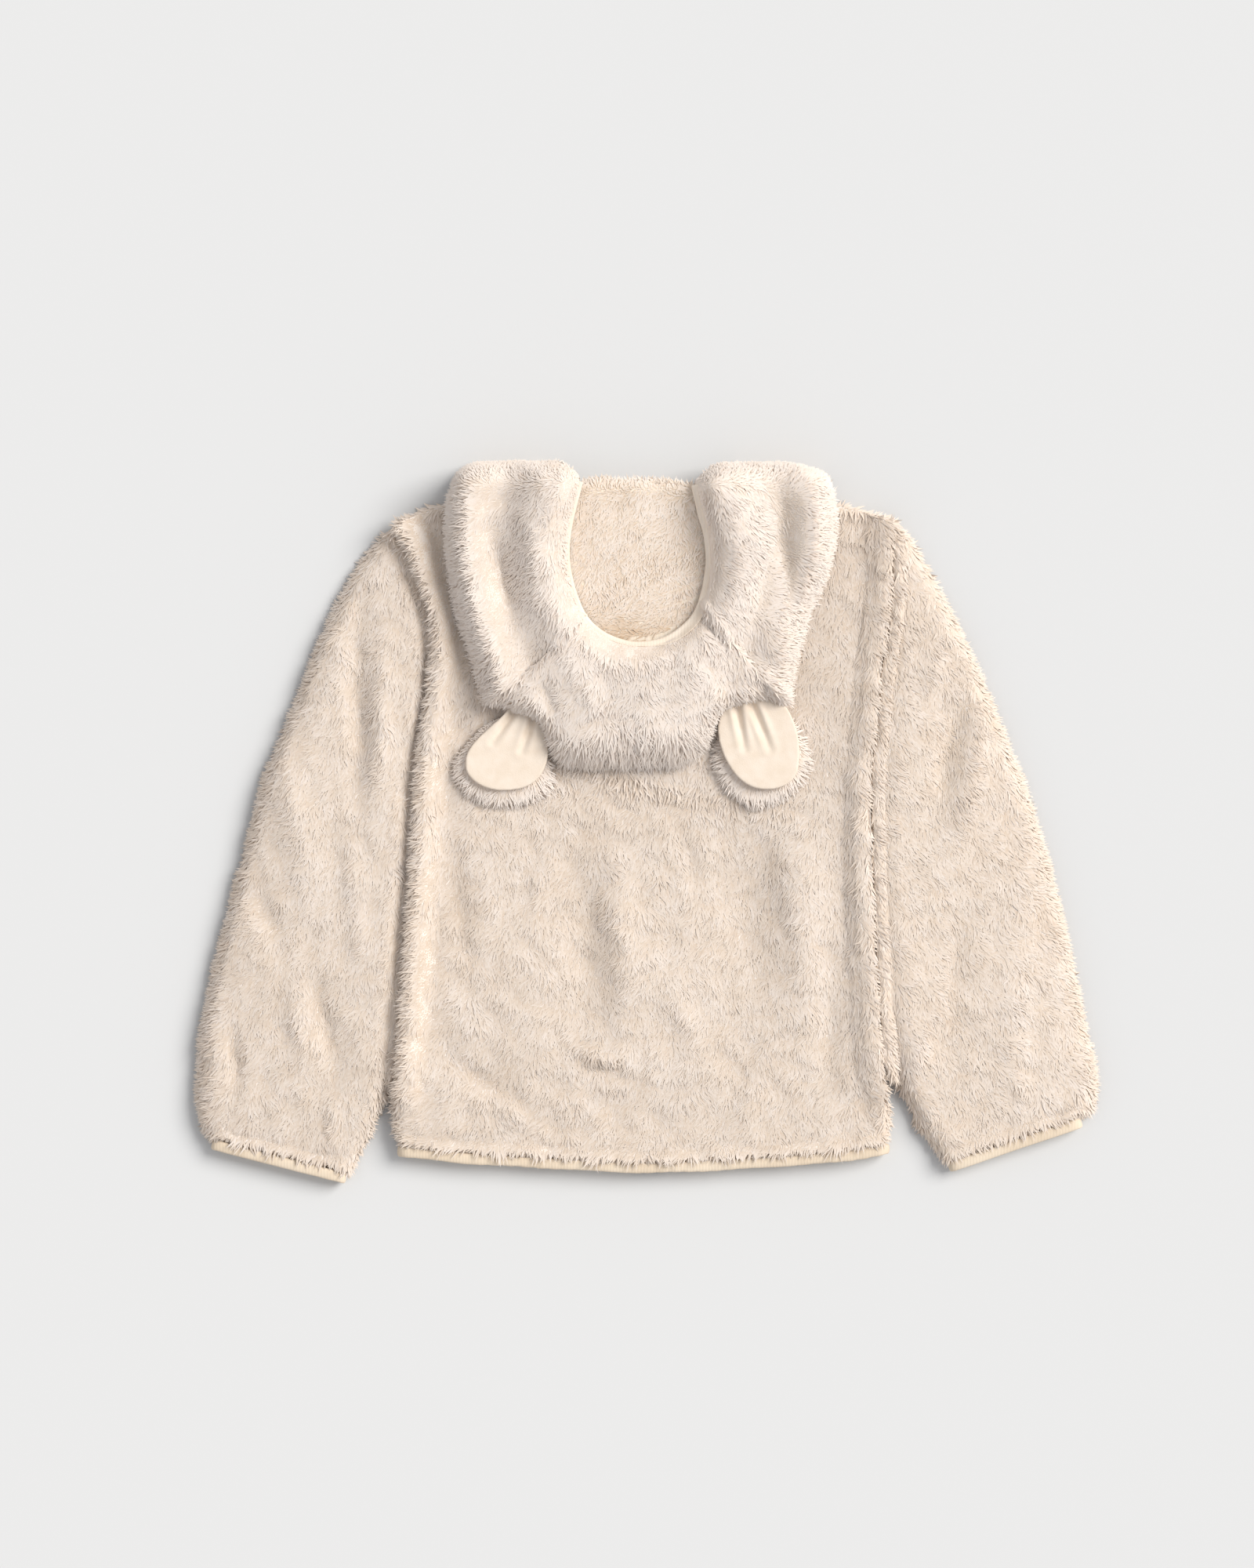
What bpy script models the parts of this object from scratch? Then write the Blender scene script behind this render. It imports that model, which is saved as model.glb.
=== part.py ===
"""Child's hooded sherpa jacket with bear ears, lying flat with its back up.

X runs across the hem, Y from the hem (negative) to the neck (positive), Z up
from the surface it lies on. Sizes are in millimetres and become metres in
make_object. Every solid reaches as far as the pile does.
"""
import math

import bmesh
import bpy
from mathutils import Vector

MM = 0.001

# Layers, as heights above the surface
FRONT_TOP = 6.4  # fronts lie pile down on the surface
TAPE_BOTTOM = 6.7
TAPE_TOP = 7.5
BACK_BOTTOM = 7.8
BACK_TOP = 15.0
REAR_BOTTOM = 15.3  # shell of the hood's rear, on the back
REAR_TOP = 19.8
LINING_BOTTOM = 20.1
LINING_TOP = 23.6
UPPER_BOTTOM = 24.2  # folded-over part of the hood
SEAM = 0.3  # gap between pieces that are sewn together
RIM = 5.0  # width over which an edge rounds down
FOLDS_FROM = 8.0  # the back is flat above this y, under the hood and the ears
LEAST_GAP = 0.2  # how far a valley presses the back's inner side down

# Sleeve under the body's edge
TUCK = 5.0  # how far a sleeve reaches under the body
TUCK_TOP = 8.4
TUCK_CLEAR = 9.4  # lift of the body's edges over the sleeves
LIFT_FLAT = 7.0  # width of the lifted strip
LIFT_END = 20.0  # distance from the edge where the lift ends
LIFT_FROM = -188.0  # the sleeves leave the body below this y
LIFT_EASE = 32.0
SLIT = 1.2  # gap between a sleeve's two layers

# Body outline: left and right edges as (y, x), from the shoulder to the hem
BODY_TOP = 190.0
BODY_BOTTOM = -206.0
BODY_EDGES = {
    "left": [
        (189, -162), (175, -151.5), (153, -146), (123, -136), (108, -134), (73, -140),
        (43, -144.5), (14, -147.5), (-15, -148), (-59, -151.5), (-103, -154.5),
        (-144, -157.5), (-169, -160), (-182, -161.5), (-197, -158.5), (-206, -156),
    ],
    "right": [
        (193, 157.5), (150, 156.5), (117, 153.5), (92, 148.5), (71, 148), (25, 142.5),
        (-25, 143.5), (-75, 145.5), (-115, 147.5), (-155, 151), (-165, 151.5),
        (-186, 155.5), (-199, 154), (-205, 152),
    ],
}
# Shoulders and back neck, front neck and hem as (x, y)
BACK_NECK = [
    (-162, 189), (-149, 197), (-131, 204), (-92, 208), (-42, 210), (40, 210), (88, 208),
    (120, 203), (138, 200), (157, 193),
]
FRONT_NECK = [
    (-162, 189), (-149, 197), (-131, 204), (-92, 207), (-62, 207), (-44, 196), (-24, 184),
    (0, 180), (24, 184), (44, 196), (62, 207), (88, 207), (120, 203), (138, 200), (157, 193),
]
HEM = [
    (-156, -206), (-116, -210.5), (-70, -213), (-36, -215), (-2, -216.5), (43, -215),
    (89, -212), (129, -209), (152, -204.5),
]

# Folds fade towards a panel's edges and towards the flat part under the hood
FOLD_MARGIN = 2.0
FOLD_EASE = 18.0
FLAT_EASE = 30.0
# Folds of the back: centre x, y, half width across, half length, turn in degrees, height
BACK_FOLDS = [
    (-38, -70, 17, 62, 4, -3.1),
    (-16, -80, 15, 58, 3, 3.4),
    (62, -60, 26, 70, -6, -2.5),
    (98, -52, 15, 74, -4, 3.6),
    (-25, -146, 13, 18, 52, 3.9),
    (-99, -167, 12, 44, 58, -2.8),
    (-78, -182, 11, 40, 60, 3.1),
    (-98, -20, 16, 60, -8, 3.1),
    (30, -150, 12, 42, -14, 2.5),
]

# Sleeves: each row runs from the outer edge to the visible inner edge, with its height
SLEEVE_COLUMNS = ("outer_x", "outer_y", "inner_x", "inner_y", "height", "tuck")
SLEEVES = {
    "left": [
        (-162.5, 187.5, -156.5, 181.5, 10.5, 1.0),
        (-171, 182, -151.5, 175, 12.5, 1.0),
        (-181, 167, -147.5, 159, 14, 1.0),
        (-192, 150, -143.5, 146, 15.5, 1.0),
        (-204, 125, -136, 122, 17, 1.0),
        (-214, 101, -135.5, 100, 18, 1.0),
        (-228, 68, -141, 66, 18, 1.0),
        (-241, 36, -145.5, 36, 18, 1.0),
        (-250, 8, -148, 6, 18, 1.0),
        (-257.5, -25, -148.5, -22, 18, 1.0),
        (-265.5, -53, -151.5, -50, 18, 1.0),
        (-273.5, -82, -153.5, -80, 18, 1.0),
        (-281, -115, -156, -108, 17.5, 1.0),
        (-286, -146, -158.5, -134, 17, 1.0),
        (-287.5, -170, -161, -157, 16.5, 0.45),
        (-286.5, -191, -170.5, -184, 15.5, 0.0),
        (-282.5, -197, -180, -206, 14.5, 0.0),
        (-278.5, -201, -189, -224, 13.4, 0.0),
    ],
    "right": [
        (157.5, 190.5, 157, 182, 10.5, 1.0),
        (170, 179, 157, 168, 12.5, 1.0),
        (181, 161, 157, 154, 14, 1.0),
        (194, 134, 155, 130, 16, 1.0),
        (207, 109, 152.5, 108, 17.5, 1.0),
        (217.5, 82, 149, 84, 18, 1.0),
        (228.5, 57, 147, 58, 18, 1.0),
        (240, 25, 143.5, 25, 18, 1.0),
        (252, -8, 144, -10, 18, 1.0),
        (260, -40, 145, -42, 18, 1.0),
        (268.5, -75, 146.5, -75, 18, 1.0),
        (276.5, -110, 148.5, -106, 17.5, 1.0),
        (282.5, -140, 151, -134, 17, 1.0),
        (287.5, -165, 153, -154, 16.5, 0.45),
        (286, -184, 166, -178, 15.5, 0.0),
        (283, -183, 178, -201, 14.5, 0.0),
        (278.5, -187, 190, -217, 13.4, 0.0),
    ],
}
# Folds of the sleeves, written as those of the back
SLEEVE_FOLDS = {
    "left": [
        (-184, 74, 9, 62, -2, -2.6),
        (-171, 62, 10, 64, -4, 2.6),
        (-204, -130, 8, 36, 8, -2.2),
        (-219, -128, 9, 34, 6, 1.8),
        (-262, -150, 7, 24, 0, -2.0),
        (-222, 0, 14, 60, 12, 2.2),
    ],
    "right": [
        (191, 44, 10, 40, -16, -2.4),
        (206, 32, 11, 44, -16, 2.2),
        (196, -96, 10, 52, -8, -2.2),
        (232, -120, 12, 48, -10, 2.2),
        (170, -150, 9, 28, -22, 2.0),
    ],
}
SLEEVE_LAST = 0.8  # the last column of a sleeve's top lies this far before the body's edge
OPEN_COLUMNS = (-0.5, -0.25, 0.0)  # columns at the inner edge below the body, from the edge
TUCKED_COLUMNS = (0.35, 0.75, 1.0)  # columns under the body, as shares of the tuck
LEAST_TUCK = 0.2  # below this share a sleeve's inner edge is free
OUTER_ROUND = (9.0, 0.25)  # width of the rounding, and share of the height at the edge
INNER_ROUND = (6.0, 0.3)
WIDEST_ROUND = 0.4  # widest rounding, as a share of the sleeve's width
CLIMB = 7.0  # width over which a sleeve rises from under the body
SLEEVE_FOLD_EASE = 12.0
SLEEVE_FOLD_MARGIN = 3.0
EDGE_LIFT = 1.6  # how far a sleeve's lower edge curves up from the surface
EDGE_LIFT_WIDTH = 2.0
LEAST_WALL = 1.6
CUFF_LENGTH = 7.0
CUFF_THICKNESS = 5.4
CUFF_INSET = 1.0
CUFF_STEPS = (8, 4)  # steps along each flat run and round each turn

# Hood: outline of the folded hood and face opening as (x, y)
LIP_LEFT = [(-42, 219), (-49.5, 189), (-51, 168), (-47.5, 149), (-40, 131)]
LIP_BOTTOM = [(-40, 131), (-28.5, 120), (-13.5, 114), (0, 113.5), (13.5, 117), (27, 127), (34.5, 139)]
LIP_RIGHT = [(30, 217), (34.5, 197), (38.5, 182), (39.5, 162), (34.5, 139)]
HOOD_LEFT = [(-121, 222), (-125.5, 208), (-127, 195), (-123.5, 149), (-114.5, 115), (-101.5, 78)]
HOOD_RIGHT = [(115, 219), (119, 205), (119, 187), (116, 164), (104.5, 138), (95, 107), (89, 76)]
LOBE_LEFT = [(-121, 222), (-112.5, 228.5), (-99, 230.5), (-67, 230.5), (-48, 228), (-42, 219)]
LOBE_RIGHT = [(30, 217), (40, 227), (67, 230.5), (95, 229), (111, 224), (115, 219)]
SEAM_LEFT = [(-101.5, 78), (-72, 98), (-40, 131)]
SEAM_RIGHT = [(34.5, 139), (62, 104), (89, 76)]
CROWN_BOTTOM = [
    (-101.5, 78), (-86, 69), (-73, 56), (-63, 42), (-47, 40), (-6, 40), (29, 41), (40, 53),
    (46, 62), (66, 72), (89, 76),
]
# Outline of the hood's rear under the folded part, as (x, y)
REAR_OUTLINE = [
    (-40, 219), (-20, 219.6), (10, 219.6), (27, 218), (46, 209.5), (80, 208.5), (103, 204),
    (106, 188), (102, 164), (91, 138), (85, 108), (74, 86), (52, 76), (36, 66), (24, 51),
    (-8, 50), (-46, 50), (-60, 60), (-78, 76), (-91, 90), (-103, 117), (-112.5, 150),
    (-116, 186), (-112, 204), (-85, 208.5), (-60, 209.5),
]
REAR_CENTRE = (-6.0, 140.0)
REAR_REACH = 80.0  # from the centre to the outline, nearly
REAR_RIM = (4.0, 0.4)  # width of the rounding, and share of the thickness at the edge
REAR_POINTS = 44
LINING_INSET = 1.5
HOOD_EDGE_WIDTH = 2.0
HOOD_EDGE_DEPTH = 6.0
HOOD_EDGE_GAP = 1.1  # between the strip and the lip
HOOD_EDGE_STEPS = 28
# Heights of the folded part: its rolls, the valley between them, and how much more at the neck
ROLL_RIDGE = 43.0
ROLL_VALLEY = 34.0
RIDGE_RISE = 7.0
VALLEY_RISE = 4.0
RISE_FROM = 140.0  # the rolls grow from this y on
RISE_LENGTH = 60.0
VALLEY_PLACE = 0.52  # share of the way from the lip to the side
VALLEY_SPREAD = 0.15
CROWN_HEIGHT = 40.0
LIP_ROUND = (11.0, 0.42)  # width of the rounding, and share of the height at the edge
OUTLINE_ROUND = (15.0, 0.22)
SEAM_DIP = 0.06
SEAM_DIP_WIDTH = 7.0
# The lobes reach past the back neck, from these x on, and come down to the surface there
LOBE_FROM = {"left": 58.0, "right": 46.0}
LOBE_EASE = 6.0
LOBE_FOOT = 1.2
LOBE_DROP_Y = 217.0
LOBE_DROP_LENGTH = 4.0
# The outer edge of the folded part comes down round the hood's rear
WRAP_CLEAR = 0.9
WRAP_WIDTH = 4.0
WRAP_EASE = 4.5
NECK_REACH = 20.0  # how far the neck edge between the lobes stays clear of this
UNDER_ROUND = 1.8
UNDER_ROUND_WIDTH = 2.0
LEAST_HOOD_WALL = 2.4

# Ears: outline of the sherpa back, of the velvet front, and the two pleats of the front
EARS = {
    "left": {
        "back": [
            (-90, 69.3), (-98, 65), (-108, 58), (-116, 49), (-121, 41), (-121.5, 33), (-117, 24),
            (-109, 17), (-98, 13), (-83, 13.5), (-70, 17), (-61.5, 24), (-59, 33), (-61, 38.5),
            (-68.5, 48.6), (-74, 56), (-81, 63),
        ],
        "inner": [
            (-89, 61), (-96, 58.5), (-104, 54), (-111, 46), (-114.5, 39), (-114, 32), (-108, 25),
            (-96.5, 20.5), (-81, 21), (-70, 28), (-66, 36), (-68, 43), (-76, 52), (-83, 57.5),
        ],
        "pleats": [((-81, 60), (-96, 45)), ((-75, 54), (-81, 42))],
    },
    "right": {
        "back": [
            (47, 57), (52, 61), (62, 66), (72, 69), (84, 69), (92, 63), (99, 53), (103, 42),
            (103, 34), (97, 25), (86, 17), (71, 11), (56, 18), (47.5, 30), (44, 42), (44, 51),
        ],
        "inner": [
            (51.5, 56.5), (60, 62), (70, 66), (81, 66), (91, 60), (96, 48), (97, 38), (92.5, 29.5),
            (84, 23), (69, 22), (57.5, 30), (51, 41), (48.5, 50),
        ],
        "pleats": [((60, 61), (63, 46)), ((70, 64), (78, 46))],
    },
}
EAR_FLOOR = 20.6
EAR_REACH = 28.0  # from an ear's middle to its outline, nearly
EAR_RIM = (4.0, 0.5)  # width of the rounding, and share of the thickness at the edge
EAR_UNDER = 1.2
EAR_UNDER_WIDTH = 2.0
VELVET_TOP = 23.6
VELVET_REACH = 24.0
VELVET_RIM = (5.0, 0.35)
VELVET_CROWN = 1.4  # how much higher the velvet's middle is
VELVET_CROWN_REACH = 22.0
PLEAT_DEPTH = 1.3
PLEAT_WIDTH = 3.0

# Hem binding
HEM_WIDTH = 7.0
HEM_THICKNESS = 5.8
HEM_CENTRES = (2.9, 11.3)  # heights of its front and back runs
HEM_RIPPLES = 12
HEM_RIPPLE = 0.35
HEM_TURNS = (-153.0, 149.0)  # where the binding turns round the body's sides
HEM_END_GAP = 1.0  # between the binding's ends and the fronts' edges
HEM_STEPS = (9, 26, 4)  # steps along each front run, the back run and round each side
HEM_EDGE_BAND = 2.0

# Zip, on the line x = 0
ZIP_EDGE = 6.5  # the fronts stop this far from the line
CHAIN_HALF = 2.8
CHAIN_BOTTOM = 5.6
TAPE_HALF = 12.0
ZIP_BOTTOM = -213.0
ZIP_TOP = 176.0
SLIDER_Y = 167.0  # middle of the slider's plate
SLIDER_PLATE = (8.4, 15.0, 1.1)
PIVOT_Y = 163.0
PIVOT_Z = 2.0
PIN_RADIUS = 0.45
BARREL_RADIUS = 1.5
BARREL_BORE = 0.8
BARREL_LENGTH = 3.0
LUG_WIDTH = 1.0
LUG_REACH = 1.1  # of a lug round the pin's middle
SLIDER_WAIST = 0.36  # half widths of the slider's plate, as shares of its width
SLIDER_FOOT = 0.3
SLIDER_SHOULDER_Y = 0.3  # where it is widest, as a share of its length
TAB_LENGTH = 19.0
TAB_WIDTH = 6.0
TAB_THICKNESS = 1.2
TAB_CHAMFER = 2.0
TAB_END = 0.6  # half widths of the tab, as shares of the widest
TAB_SHOULDER = 0.8
NECK_HALF = 1.2
NECK_LENGTH = 2.2
NECK_OVERLAP = 1.0
HOLE_HALF = (1.4, 2.2)
HOLE_FROM_TIP = 4.5

# Colour, roughness and metallic value of each material
FINISHES = {
    "sherpa": ((0.84, 0.74, 0.62), 0.95, 0.0),
    "fine_pile": ((0.86, 0.77, 0.66), 0.95, 0.0),
    "velvet": ((0.91, 0.82, 0.70), 0.85, 0.0),
    "binding": ((0.79, 0.65, 0.47), 0.80, 0.0),
    "tape": ((0.82, 0.74, 0.62), 0.85, 0.0),
    "metal": ((0.70, 0.66, 0.58), 0.35, 1.0),
}


def clear_scene():
    for obj in list(bpy.data.objects):
        bpy.data.objects.remove(obj, do_unlink=True)


def smooth(t):
    """0 below 0, 1 above 1, with an even slope between."""
    t = min(max(t, 0.0), 1.0)
    return t * t * (3.0 - 2.0 * t)


def curve_at(points, t):
    """A point at share t of a smooth curve through points, evenly by length."""
    lengths = [math.dist(a, b) for a, b in zip(points, points[1:])]
    left = t * sum(lengths)
    last = len(lengths) - 1
    k = 0
    while k < last and left > lengths[k]:
        left -= lengths[k]
        k += 1
    s = left / lengths[k]
    p1, p2 = points[k], points[k + 1]
    p0 = points[k - 1] if k > 0 else p1
    p3 = points[k + 2] if k < last else p2
    return tuple(
        0.5 * (2 * b + (c - a) * s + (2 * a - 5 * b + 4 * c - d) * s**2 + (3 * b - a - 3 * c + d) * s**3)
        for a, b, c, d in zip(p0, p1, p2, p3)
    )


def height_at(points, x):
    """Value at x on the lines between points, which are (x, value) in either order."""
    points = sorted(points)
    if x <= points[0][0]:
        return points[0][1]
    for (x0, v0), (x1, v1) in zip(points, points[1:]):
        if x <= x1:
            return v0 + (v1 - v0) * (x - x0) / (x1 - x0)
    return points[-1][1]


def closed_curve(points, count):
    """A closed outline of count points on a smooth curve through points."""
    ring = points[-2:] + points + points[:2]
    first = sum(math.dist(a, b) for a, b in zip(ring[:2], ring[1:3]))
    length = sum(math.dist(a, b) for a, b in zip(ring, ring[1:]))
    loop = sum(math.dist(a, b) for a, b in zip(points, points[1:] + points[:1]))
    return [curve_at(ring, (first + loop * k / count) / length) for k in range(count)]


def fold_height(folds, x, y):
    """Sum of the soft ridges and valleys at a place."""
    total = 0.0
    for cx, cy, half_width, half_length, turn, height in folds:
        a = math.radians(turn)
        across = (x - cx) * math.cos(a) + (y - cy) * math.sin(a)
        along = -(x - cx) * math.sin(a) + (y - cy) * math.cos(a)
        spread = (across / half_width) ** 2 + (along / half_length) ** 2
        total += height * math.exp(-spread * 1.4)
    return total


def finish_of(name):
    material = bpy.data.materials.get(name) or bpy.data.materials.new(name)
    colour, roughness, metallic = FINISHES[name]
    material.use_nodes = True
    shader = material.node_tree.nodes["Principled BSDF"]
    shader.inputs["Base Color"].default_value = (*colour, 1.0)
    shader.inputs["Roughness"].default_value = roughness
    shader.inputs["Metallic"].default_value = metallic
    return material


def make_object(name, points, faces, finish):
    """An object from points in millimetres, with its faces turned out."""
    mesh = bpy.data.meshes.new(name)
    mesh.from_pydata([Vector(p) * MM for p in points], [], faces)
    shell = bmesh.new()
    shell.from_mesh(mesh)
    bmesh.ops.recalc_face_normals(shell, faces=shell.faces)
    shell.to_mesh(mesh)
    shell.free()
    mesh.shade_smooth()
    material = finish_of(finish).copy()
    material.name = name + "_" + finish
    mesh.materials.append(material)
    obj = bpy.data.objects.new(name, mesh)
    bpy.context.scene.collection.objects.link(obj)
    return obj


def grid_solid(name, top, bottom, finish):
    """A closed slab between two grids of points with the same rows and columns."""
    rows, columns = len(top), len(top[0])
    points = [p for row in top for p in row] + [p for row in bottom for p in row]
    below = rows * columns
    faces = []
    for j in range(rows - 1):
        for k in range(columns - 1):
            a = j * columns + k
            b = a + columns
            for corner in ((a, a + 1, b + 1), (a, b + 1, b)):
                faces.append(corner)
                faces.append(tuple(below + v for v in reversed(corner)))
    edge = [k for k in range(columns)]
    edge += [j * columns + columns - 1 for j in range(1, rows)]
    edge += [(rows - 1) * columns + k for k in range(columns - 2, -1, -1)]
    edge += [j * columns for j in range(rows - 2, 0, -1)]
    for a, b in zip(edge, edge[1:] + edge[:1]):
        faces.append((a, below + a, below + b, b))
    return make_object(name, points, faces, finish)


def ring_solid(name, rings, finish, closed=False):
    """A solid through rings of points: capped at both ends, or joined round."""
    size = len(rings[0])
    points = [p for ring in rings for p in ring]
    faces = []
    for j in range(len(rings) if closed else len(rings) - 1):
        a, b = j * size, (j + 1) % len(rings) * size
        for k in range(size):
            m = (k + 1) % size
            faces.append((a + k, a + m, b + m, b + k))
    if not closed:
        faces.append(tuple(range(size - 1, -1, -1)))
        faces.append(tuple(range(len(points) - size, len(points))))
    return make_object(name, points, faces, finish)


def edge_round(distance, rim=RIM, least=0.45):
    """Share of full thickness at a distance from a rounded edge."""
    t = min(max(distance / rim, 0.0), 1.0)
    return least + (1.0 - least) * math.sqrt(1.0 - (1.0 - t) ** 2)


# Body panels
def body_x(side, y):
    return height_at(BODY_EDGES[side], y)


def sleeve_below(y):
    """Share of the lift at y: the sleeves leave the body above the hem."""
    return smooth((y - LIFT_FROM) / LIFT_EASE)


def lift(x, y):
    """How far the body is held up along its sides, where a sleeve lies under it."""
    total = 0.0
    for side in ("left", "right"):
        inset = abs(x - body_x(side, y))
        share = 1.0 - smooth((inset - LIFT_FLAT) / (LIFT_END - LIFT_FLAT))
        total += TUCK_CLEAR * share * sleeve_below(y)
    return total


SIDE_INSETS = (0.0, 1.6, 4.5, 8.0, 12.0, 16.0, 20.5, 32.0)


def body_grid(neck, left_stop, right_stop, middle_columns, shares):
    """Plan points of a body panel, with the distance of each from the nearest edge.

    A stop of None is the body's side edge; a number is a straight edge at that x.
    """
    grid = []
    for t in shares:
        y_row = BODY_TOP + (BODY_BOTTOM - BODY_TOP) * t
        left = body_x("left", y_row) if left_stop is None else left_stop
        right = body_x("right", y_row) if right_stop is None else right_stop
        from_left = SIDE_INSETS if left_stop is None else SIDE_INSETS[:3]
        from_right = SIDE_INSETS if right_stop is None else SIDE_INSETS[:3]
        xs = [left + inset for inset in from_left]
        last = right - from_right[-1]
        step = (last - xs[-1]) / (middle_columns + 1)
        xs += [xs[-1] + step * (k + 1) for k in range(middle_columns)]
        xs += [right - inset for inset in reversed(from_right)]
        row = []
        for x in xs:
            high, low = height_at(neck, x), height_at(HEM, x)
            y = high + (low - high) * t
            distance = min(x - left, right - x, (high - low) * t, (high - low) * (1 - t))
            row.append((x, y, max(distance, 0.0)))
        grid.append(row)
    return grid


def row_shares(count, length=420.0):
    ends = (0.0, 1.6 / length, 5.0 / length)
    middle = [ends[-1] + (1 - 2 * ends[-1]) * (k + 1) / (count + 1) for k in range(count)]
    return list(ends) + middle + [1 - s for s in reversed(ends)]


def panel(name, grid, low, high, folds):
    """A wall between heights low and high over a plan grid, lifted and folded."""
    top, bottom = [], []
    for row in grid:
        upper, lower = [], []
        for x, y, distance in row:
            base = lift(x, y)
            fade = smooth((distance - FOLD_MARGIN) / FOLD_EASE) * smooth((FOLDS_FROM - y) / FLAT_EASE)
            fold = fade * fold_height(folds, x, y)
            half = (high - low) / 2 * edge_round(distance)
            middle = base + (low + high) / 2
            rests = low == 0 and distance > 1.0
            upper.append((x, y, middle + half + fold))
            lower.append((x, y, base if rests else middle - half + max(fold, -LEAST_GAP)))
        top.append(upper)
        bottom.append(lower)
    return grid_solid(name, top, bottom, "sherpa")


def make_body():
    shares = row_shares(18)
    grid = body_grid(BACK_NECK, None, None, 13, shares)
    panel("back", grid, BACK_BOTTOM, BACK_TOP, BACK_FOLDS)
    grid = body_grid(FRONT_NECK, None, -ZIP_EDGE, 5, shares)
    panel("front_left", grid, 0.0, FRONT_TOP, ())
    grid = body_grid(FRONT_NECK, ZIP_EDGE, None, 5, shares)
    panel("front_right", grid, 0.0, FRONT_TOP, ())


# Sleeves
SLEEVE_ACROSS = (0.0, 0.015, 0.06, 0.14, 0.26, 0.40, 0.55, 0.70, 0.84, 0.94, 1.0)


def sleeve_section(side, row):
    """Outer and inner ring of one section of a flattened sleeve."""
    size = dict(zip(SLEEVE_COLUMNS, row))
    outer_x, outer_y, height, tuck = (size[k] for k in ("outer_x", "outer_y", "height", "tuck"))
    across = Vector((size["inner_x"] - outer_x, size["inner_y"] - outer_y))
    width = across.length
    unit = across / width
    deep = TUCK * tuck
    places = [width * s for s in SLEEVE_ACROSS[:-1]] + [width - SLEEVE_LAST]
    if tuck > LEAST_TUCK:
        places += [width + deep * s for s in TUCKED_COLUMNS]
    else:
        places += [width + s for s in OPEN_COLUMNS]
    free = 1.0 - smooth(tuck / (2 * LEAST_TUCK))
    rounding = width * WIDEST_ROUND
    end = places[-1]
    upper, lower, in_up, in_low = [], [], [], []
    for k, place in enumerate(places):
        x, y = outer_x + unit.x * place, outer_y + unit.y * place
        edge = min(place, end - place)
        swell = edge_round(place, min(OUTER_ROUND[0], rounding), OUTER_ROUND[1])
        swell_in = edge_round(end - place, min(INNER_ROUND[0], rounding), INNER_ROUND[1])
        fade = smooth((place - SLEEVE_FOLD_MARGIN) / SLEEVE_FOLD_EASE)
        fade *= smooth((width - place - SLEEVE_FOLD_MARGIN) / SLEEVE_FOLD_EASE)
        full = height + fade * fold_height(SLEEVE_FOLDS[side], x, y)
        under = smooth((width + 2 * SEAM - place) / min(CLIMB, width / 2))
        covered = TUCK_TOP + (full - TUCK_TOP) * under
        top = (covered * (1 - free) + full * free) * swell * swell_in
        rise = max(0.0, 1.0 - edge / EDGE_LIFT_WIDTH) * EDGE_LIFT
        upper.append((x, y, max(top, rise + LEAST_WALL)))
        lower.append((x, y, rise))
    wall = (min(height, TUCK_TOP) - SLIT) / 2
    for k, place in enumerate(places):
        share = k / (len(places) - 1)
        inset = min(wall, end * 0.3)
        held = inset + (end - 2 * inset) * place / end
        x, y = outer_x + unit.x * held, outer_y + unit.y * held
        high = height_between(places, upper, held)
        middle = high / 2
        pinch = min(1.0, 6 * min(share, 1 - share) + 0.35)
        in_up.append((x, y, middle + SLIT / 2 * pinch))
        in_low.append((x, y, middle - SLIT / 2 * pinch))
    outer_ring = upper + lower[::-1]
    inner_ring = in_up + in_low[::-1]
    return outer_ring, inner_ring


def height_between(places, points, place):
    return height_at([(p, q[2]) for p, q in zip(places, points)], place)


def make_sleeve(side):
    """A flattened tube with a thin slit along it, open at the armhole and the cuff."""
    sections = [sleeve_section(side, row) for row in SLEEVES[side]]
    size = len(sections[0][0])
    points = []
    for outer, inner in sections:
        points += outer + inner
    step = 2 * size
    faces = []
    for j in range(len(sections) - 1):
        for k in range(size):
            m = (k + 1) % size
            a, b = j * step, (j + 1) * step
            faces.append((a + k, a + m, b + m, b + k))
            faces.append((a + size + k, b + size + k, b + size + m, a + size + m))
    for a in (0, (len(sections) - 1) * step):
        for k in range(size):
            m = (k + 1) % size
            faces.append((a + k, a + m, a + size + m, a + size + k))
    make_object("sleeve_" + side, points, faces, "sherpa")


# Bindings
def strip_ring(centre, along, width_axis, width, thickness):
    """Eight points round a strip's section, with its corners cut."""
    normal = along.cross(width_axis).normalized()
    ring = []
    for a, b in ((1, 0.5), (0.8, 1), (-0.8, 1), (-1, 0.5), (-1, -0.5), (-0.8, -1), (0.8, -1), (1, -0.5)):
        ring.append(centre + width_axis * (a * width / 2) + normal * (b * thickness / 2))
    return ring


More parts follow.
